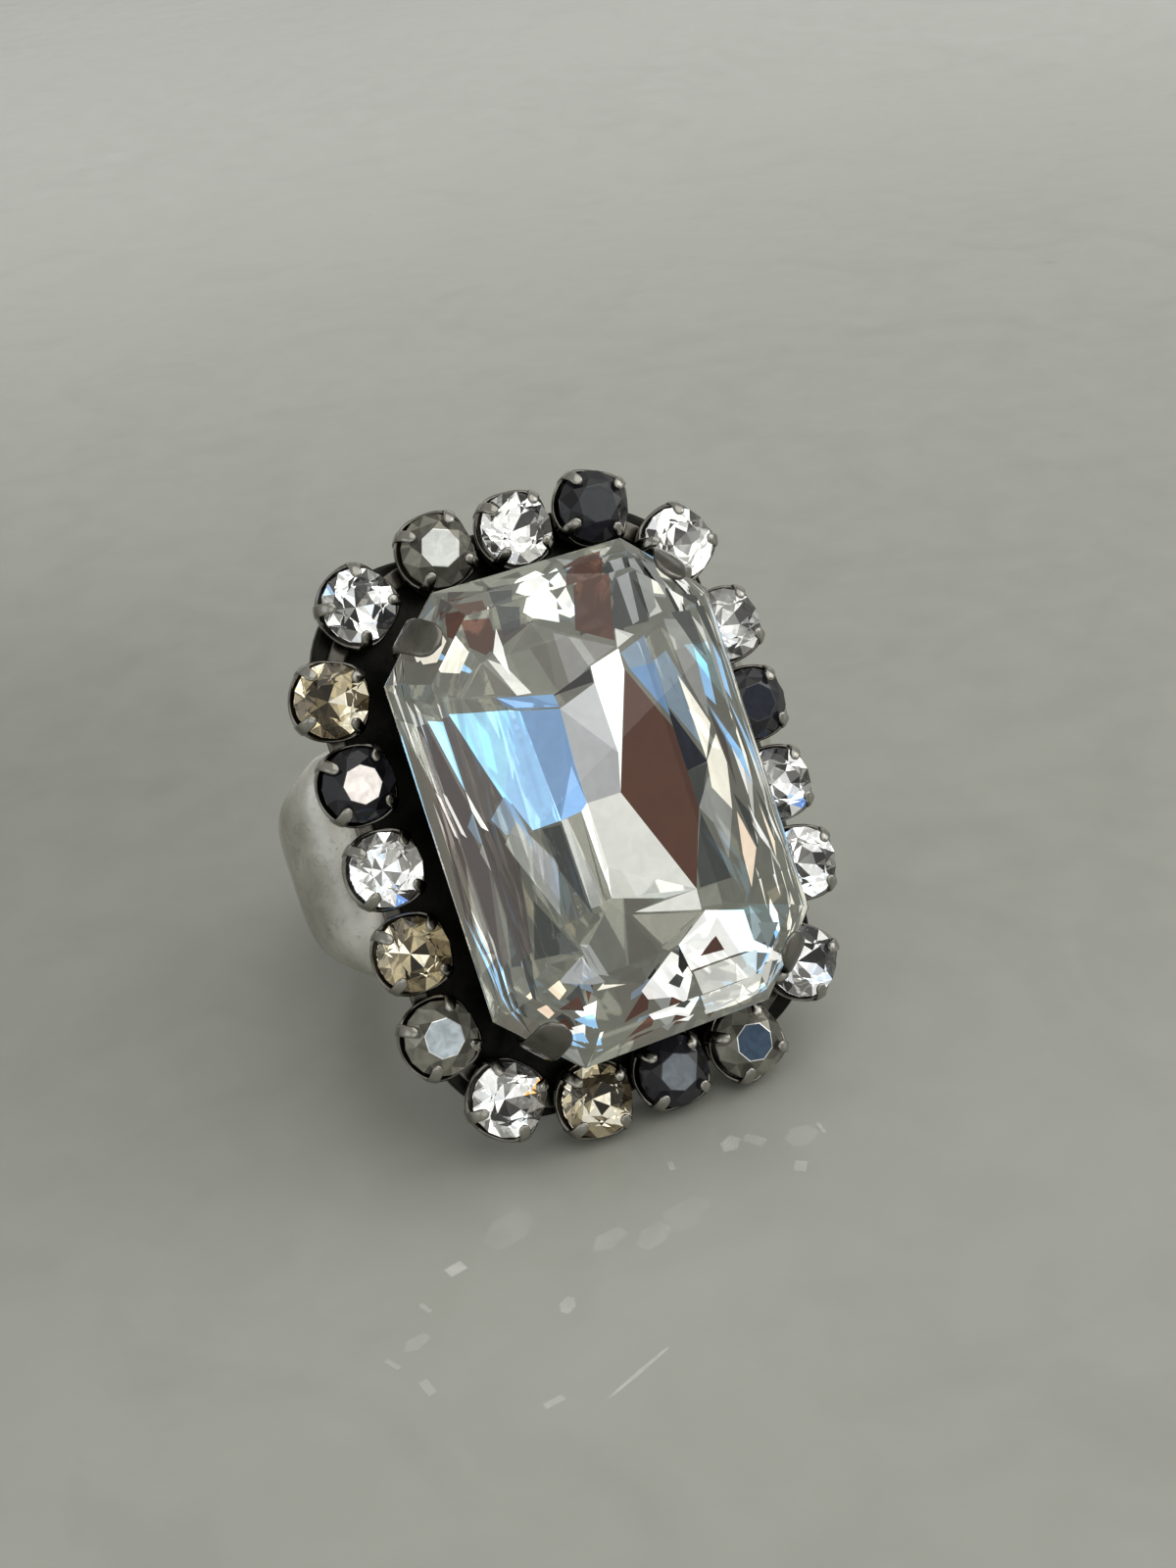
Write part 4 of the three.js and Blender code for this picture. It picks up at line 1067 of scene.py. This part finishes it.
chain_end = ORDER.index("bottom_right") - 1
pairs = [(name, following[name]) for k, name in enumerate(ORDER) if k != chain_end]
for number, (name, after) in enumerate(pairs, 1):
    step = CENTRE[after] - CENTRE[name]
    node = f"link_{number}"
    low, high = node_box(node)
    bar, bar_faces = rounded_bar(float(np.hypot(*step)) - CUP_ROOM, LINK_WIDTH, LINK_HEIGHT)
    bar = turned(bar, math.atan2(*step[::-1])) + (low + high) / 2
    link = make_piece("chain_link_" + str(number), bar, bar_faces, dark_metal)
    add_wear_and_painted_light(link, np.zeros(len(link.data.vertices)))
    settle(link, "dark_setting_metal", node)
print(len(pairs), "links")

# %% [markdown]
# ## The table
#
# A pale stone table top, polished enough to hold soft reflections. It is a very slightly uneven sheet
# with faint clouds and a few flecks, and it belongs to the scene, not to the ring. Its grid is finer in
# the middle, where a darker cloud of painted shadow lies behind the ring on the left and a pale pool of
# painted light in front of it. Their strength is stored in the rub attribute too, and here it only shades the
# colour.

# %% Table top
def stone_top():
    """Polished pale stone: clouds, a fine grain, smudges and a few dark flecks, each laid over the last."""
    material, tree, shader = new_material("pale stone")
    fine = noise(tree, 260, 4, 0.3)
    smudge = noise(tree, 70, 6, 1.4)
    fleck = noise(tree, 120, 2)
    colour = ramp(tree, noise(tree, 9, 5, 0.6), (0.35, (0.372, 0.378, 0.340)), (0.65, (0.412, 0.418, 0.380)))
    for amount, tone in ((spread(tree, fine, 0.0, 0.35), (0.45, 0.45, 0.41)),
                         (spread(tree, smudge, 0.0, 0.20, 0.50, 0.72), (0.28, 0.28, 0.25)),
                         (spread(tree, fleck, 0.0, 0.35, 0.74, 0.80), (0.20, 0.19, 0.16))):
        colour = mix_colour(tree, amount, colour, tone)
    # Painted shadow and painted light: the value stored on the table darkens or lightens its colour.
    shade = spread(tree, attribute(tree, "rub", "Fac"), 0.5, 1.5, 0.0, 1.0)
    colour = mix_colour(tree, 1.0, colour, shade, "MULTIPLY")
    plug(tree, shader, {"Base Color": colour, "Roughness": spread(tree, fine, 0.23, 0.27)})
    return material


CELLS = 120
TABLE_HALF, TABLE_WAVE = 0.9, 0.02 * MM
share = np.linspace(-1, 1, CELLS + 1)
side = TABLE_HALF * np.sign(share) * share**2
gx, gy = np.meshgrid(side, side)
gz = -TABLE_WAVE * (1 + np.sin(31 * gx) * np.cos(27 * gy))
i, j = np.meshgrid(np.arange(CELLS), np.arange(CELLS), indexing="ij")
corner = (i * (CELLS + 1) + j).ravel()
above = corner + CELLS + 1
table_top = mesh_object("table_top", np.stack([gx, gy, gz], -1).reshape(-1, 3),
                        facets(corner, corner + 1, above + 1, above), stone_top())
table_top.data.polygons.foreach_set("use_smooth", np.ones(CELLS**2, bool))
# A cloud of painted shadow behind the ring on the left, and a pool of painted light in front of it.
painted_shadow = np.exp(-((gx / MM + 26) ** 2 + (gy / MM - 42) ** 2) / 38**2)
pale = np.exp(-((gx / MM + 8) ** 2 + (gy / MM + 20) ** 2) / 13**2)
add_wear_and_painted_light(table_top, (0.5 - 0.27 * painted_shadow + 0.07 * pale).ravel())

# %% [markdown]
# The crystals throw faint patches of light on the table in front of the ring. Each patch is a thin
# many-sided sheet just above the stone, clear at its rim and pale in the middle. It is given as its place
# (x, y), its half length and half width, its turn, its number of sides and its strength.

# %% Patches of thrown light
PATCH_LEVEL, PATCH_GLOW = 0.012, 0.12


def thrown_light():
    """Pale and faintly glowing, as opaque as the patch's own strength says."""
    material, tree, shader = new_material("thrown light")
    grain = spread(tree, noise(tree, 700, 3), 0.45, 1.0)
    node = tree.nodes.new("ShaderNodeMath")
    node.operation = "MULTIPLY"
    plug(tree, node, {0: attribute(tree, "rub", "Fac"), 1: grain})
    plug(tree, shader, {"Base Color": (0.80, 0.80, 0.76, 1.0), "Roughness": 0.6, "Alpha": node.outputs[0],
                        "Emission Color": (1.0, 1.0, 0.97, 1.0), "Emission Strength": PATCH_GLOW})
    material.cycles.emission_sampling = "NONE"
    return material


PATCHES = [(-14.6, -19.3, 0.75, 0.55, 0.2, 4, 0.75), (-10.9, -24.4, 0.7, 0.45, 0.9, 6, 0.6),
           (-9.9, -30.0, 2.5, 0.13, 0.35, 6, 0.8), (-14.0, -29.6, 0.8, 0.3, 0.1, 4, 0.55),
           (-7.2, -21.4, 1.3, 0.7, 0.3, 5, 0.3), (-5.2, -22.3, 1.3, 0.8, 0.5, 6, 0.3),
           (-2.1, -18.2, 0.5, 0.25, 1.3, 4, 0.55), (1.3, -18.3, 0.8, 0.6, 0.6, 5, 0.6),
           (2.5, -18.7, 0.9, 0.5, 2.2, 4, 0.45), (3.5, -21.7, 0.6, 0.5, 0.9, 4, 0.6),
           (5.9, -19.7, 0.7, 0.16, 1.5, 4, 0.6), (4.7, -19.7, 1.1, 0.9, 0.2, 6, 0.3),
           (-16.9, -21.0, 0.6, 0.2, 1.9, 4, 0.45), (-18.1, -22.9, 0.9, 0.5, 0.3, 5, 0.35),
           (-19.6, -23.6, 0.7, 0.2, 2.0, 4, 0.45), (-18.7, -25.8, 0.8, 0.35, 1.7, 4, 0.5),
           (-11.2, -18.1, 1.8, 1.2, 0.5, 6, 0.18), (-3.2, -21.8, 1.9, 1.1, 0.4, 5, 0.18)]


def patch(x, y, length, width, turn, sides, amount):
    """A middle point, a ring at 80 percent and a rim: ellipse corners at even angles, turned in the plane."""
    t = 2 * np.pi * (np.arange(sides) + 0.5) / sides
    ring = turned(np.column_stack([length * np.cos(t), width * np.sin(t)]), turn)
    flat = np.vstack([np.zeros((1, 2)), ring * 0.8, ring]) + (x, y)
    k, n = np.arange(sides), (np.arange(sides) + 1) % sides
    faces = facets(0, 1 + k, 1 + n) + facets(1 + k, 1 + sides + k, 1 + sides + n, 1 + n)
    strength = amount * np.concatenate([np.full(1 + sides, 0.65), np.zeros(sides)])
    return np.column_stack([flat, np.full(len(flat), PATCH_LEVEL)]), faces, strength


parts = [patch(*numbers) for numbers in PATCHES]
patch_points, patch_faces = merge([(points, faces) for points, faces, _ in parts])
patches = mesh_object("thrown_light", patch_points * MM, patch_faces, thrown_light())
add_wear_and_painted_light(patches, np.concatenate([strength for _, _, strength in parts]))
print(len(PATCHES), "patches of thrown light")

# %% [markdown]
# ## Light
#
# Jewellery looks best under large soft lights, because every facet is a mirror. A wide light hangs over
# the table and a second one stands on the right. A weaker one stands in front, far enough to the left that
# the big crystal's flat top doesn't mirror it. A weak, cool one on the left is the window, and a long thin
# one far behind lays a paler band on the polished table.

# %% Lights and world
def soft_light(name, place, target, size, power, colour):
    """A rectangular light in room millimetres, turned to face its target."""
    lamp = bpy.data.lights.new(name, "AREA")
    lamp.shape, lamp.size, lamp.size_y = "RECTANGLE", size[0] * MM, size[1] * MM
    lamp.energy, lamp.color = power, colour
    light = link_object(name, lamp)
    light.location = Vector(place) * MM
    aim = (Vector(target) - Vector(place)).normalized()
    light.rotation_euler = aim.to_track_quat("-Z", "Y").to_euler()


soft_light("overhead", (350, -250, 900), (0, 0, 10), (1400, 1200), 4.6, (1.0, 0.99, 0.96))
soft_light("front", (-480, -1150, 520), (0, 0, 15), (1000, 700), 1.2, (1.0, 0.99, 0.97))
soft_light("right", (1250, -350, 620), (0, 0, 15), (900, 800), 3.2, (1.0, 0.995, 0.98))
soft_light("window", (-1100, -200, 480), (0, 0, 15), (800, 700), 0.9, (0.88, 0.94, 1.0))
soft_light("back strip", (550, 1900, 440), (100, 300, 0), (3400, 140), 2.1, (1.0, 1.0, 1.0))

world = bpy.data.worlds.new("studio")
bpy.context.scene.world = world
world.use_nodes = True
background = world.node_tree.nodes["Background"]
background.inputs["Color"].default_value = (0.57, 0.575, 0.54, 1.0)
background.inputs["Strength"].default_value = 0.80
bpy.context.scene.view_settings.view_transform = "Standard"

# %% [markdown]
# ## The camera
#
# The eye looks down at the crystal from its left, from about eleven centimetres, through a lens of
# 50 mm. Its place is given in the ring's frame, so it follows the ring if the ring leans differently.

# %% Camera
EYE = (-36.27, 3.64, 121.76)
LOOK_BACK = (-0.3239, 0.0239, 0.9458)
HEAD_UP = (0.2978, 0.9514, 0.0779)

camera_data = bpy.data.cameras.new("camera")
camera_data.lens, camera_data.sensor_width = 50.0, 36.0
camera_data.clip_start = 0.005
camera = link_object("camera", camera_data)
back = Vector(np.array(LOOK_BACK) @ BASIS).normalized()
right = Vector(np.array(HEAD_UP) @ BASIS).cross(back).normalized()
up = back.cross(right)
turned = Matrix((right, up, back)).transposed().to_4x4()
camera.matrix_world = Matrix.Translation(Vector(to_room(EYE))) @ turned
bpy.context.scene.camera = camera
print("camera at", [round(v * 1000, 1) for v in camera.location], "mm")
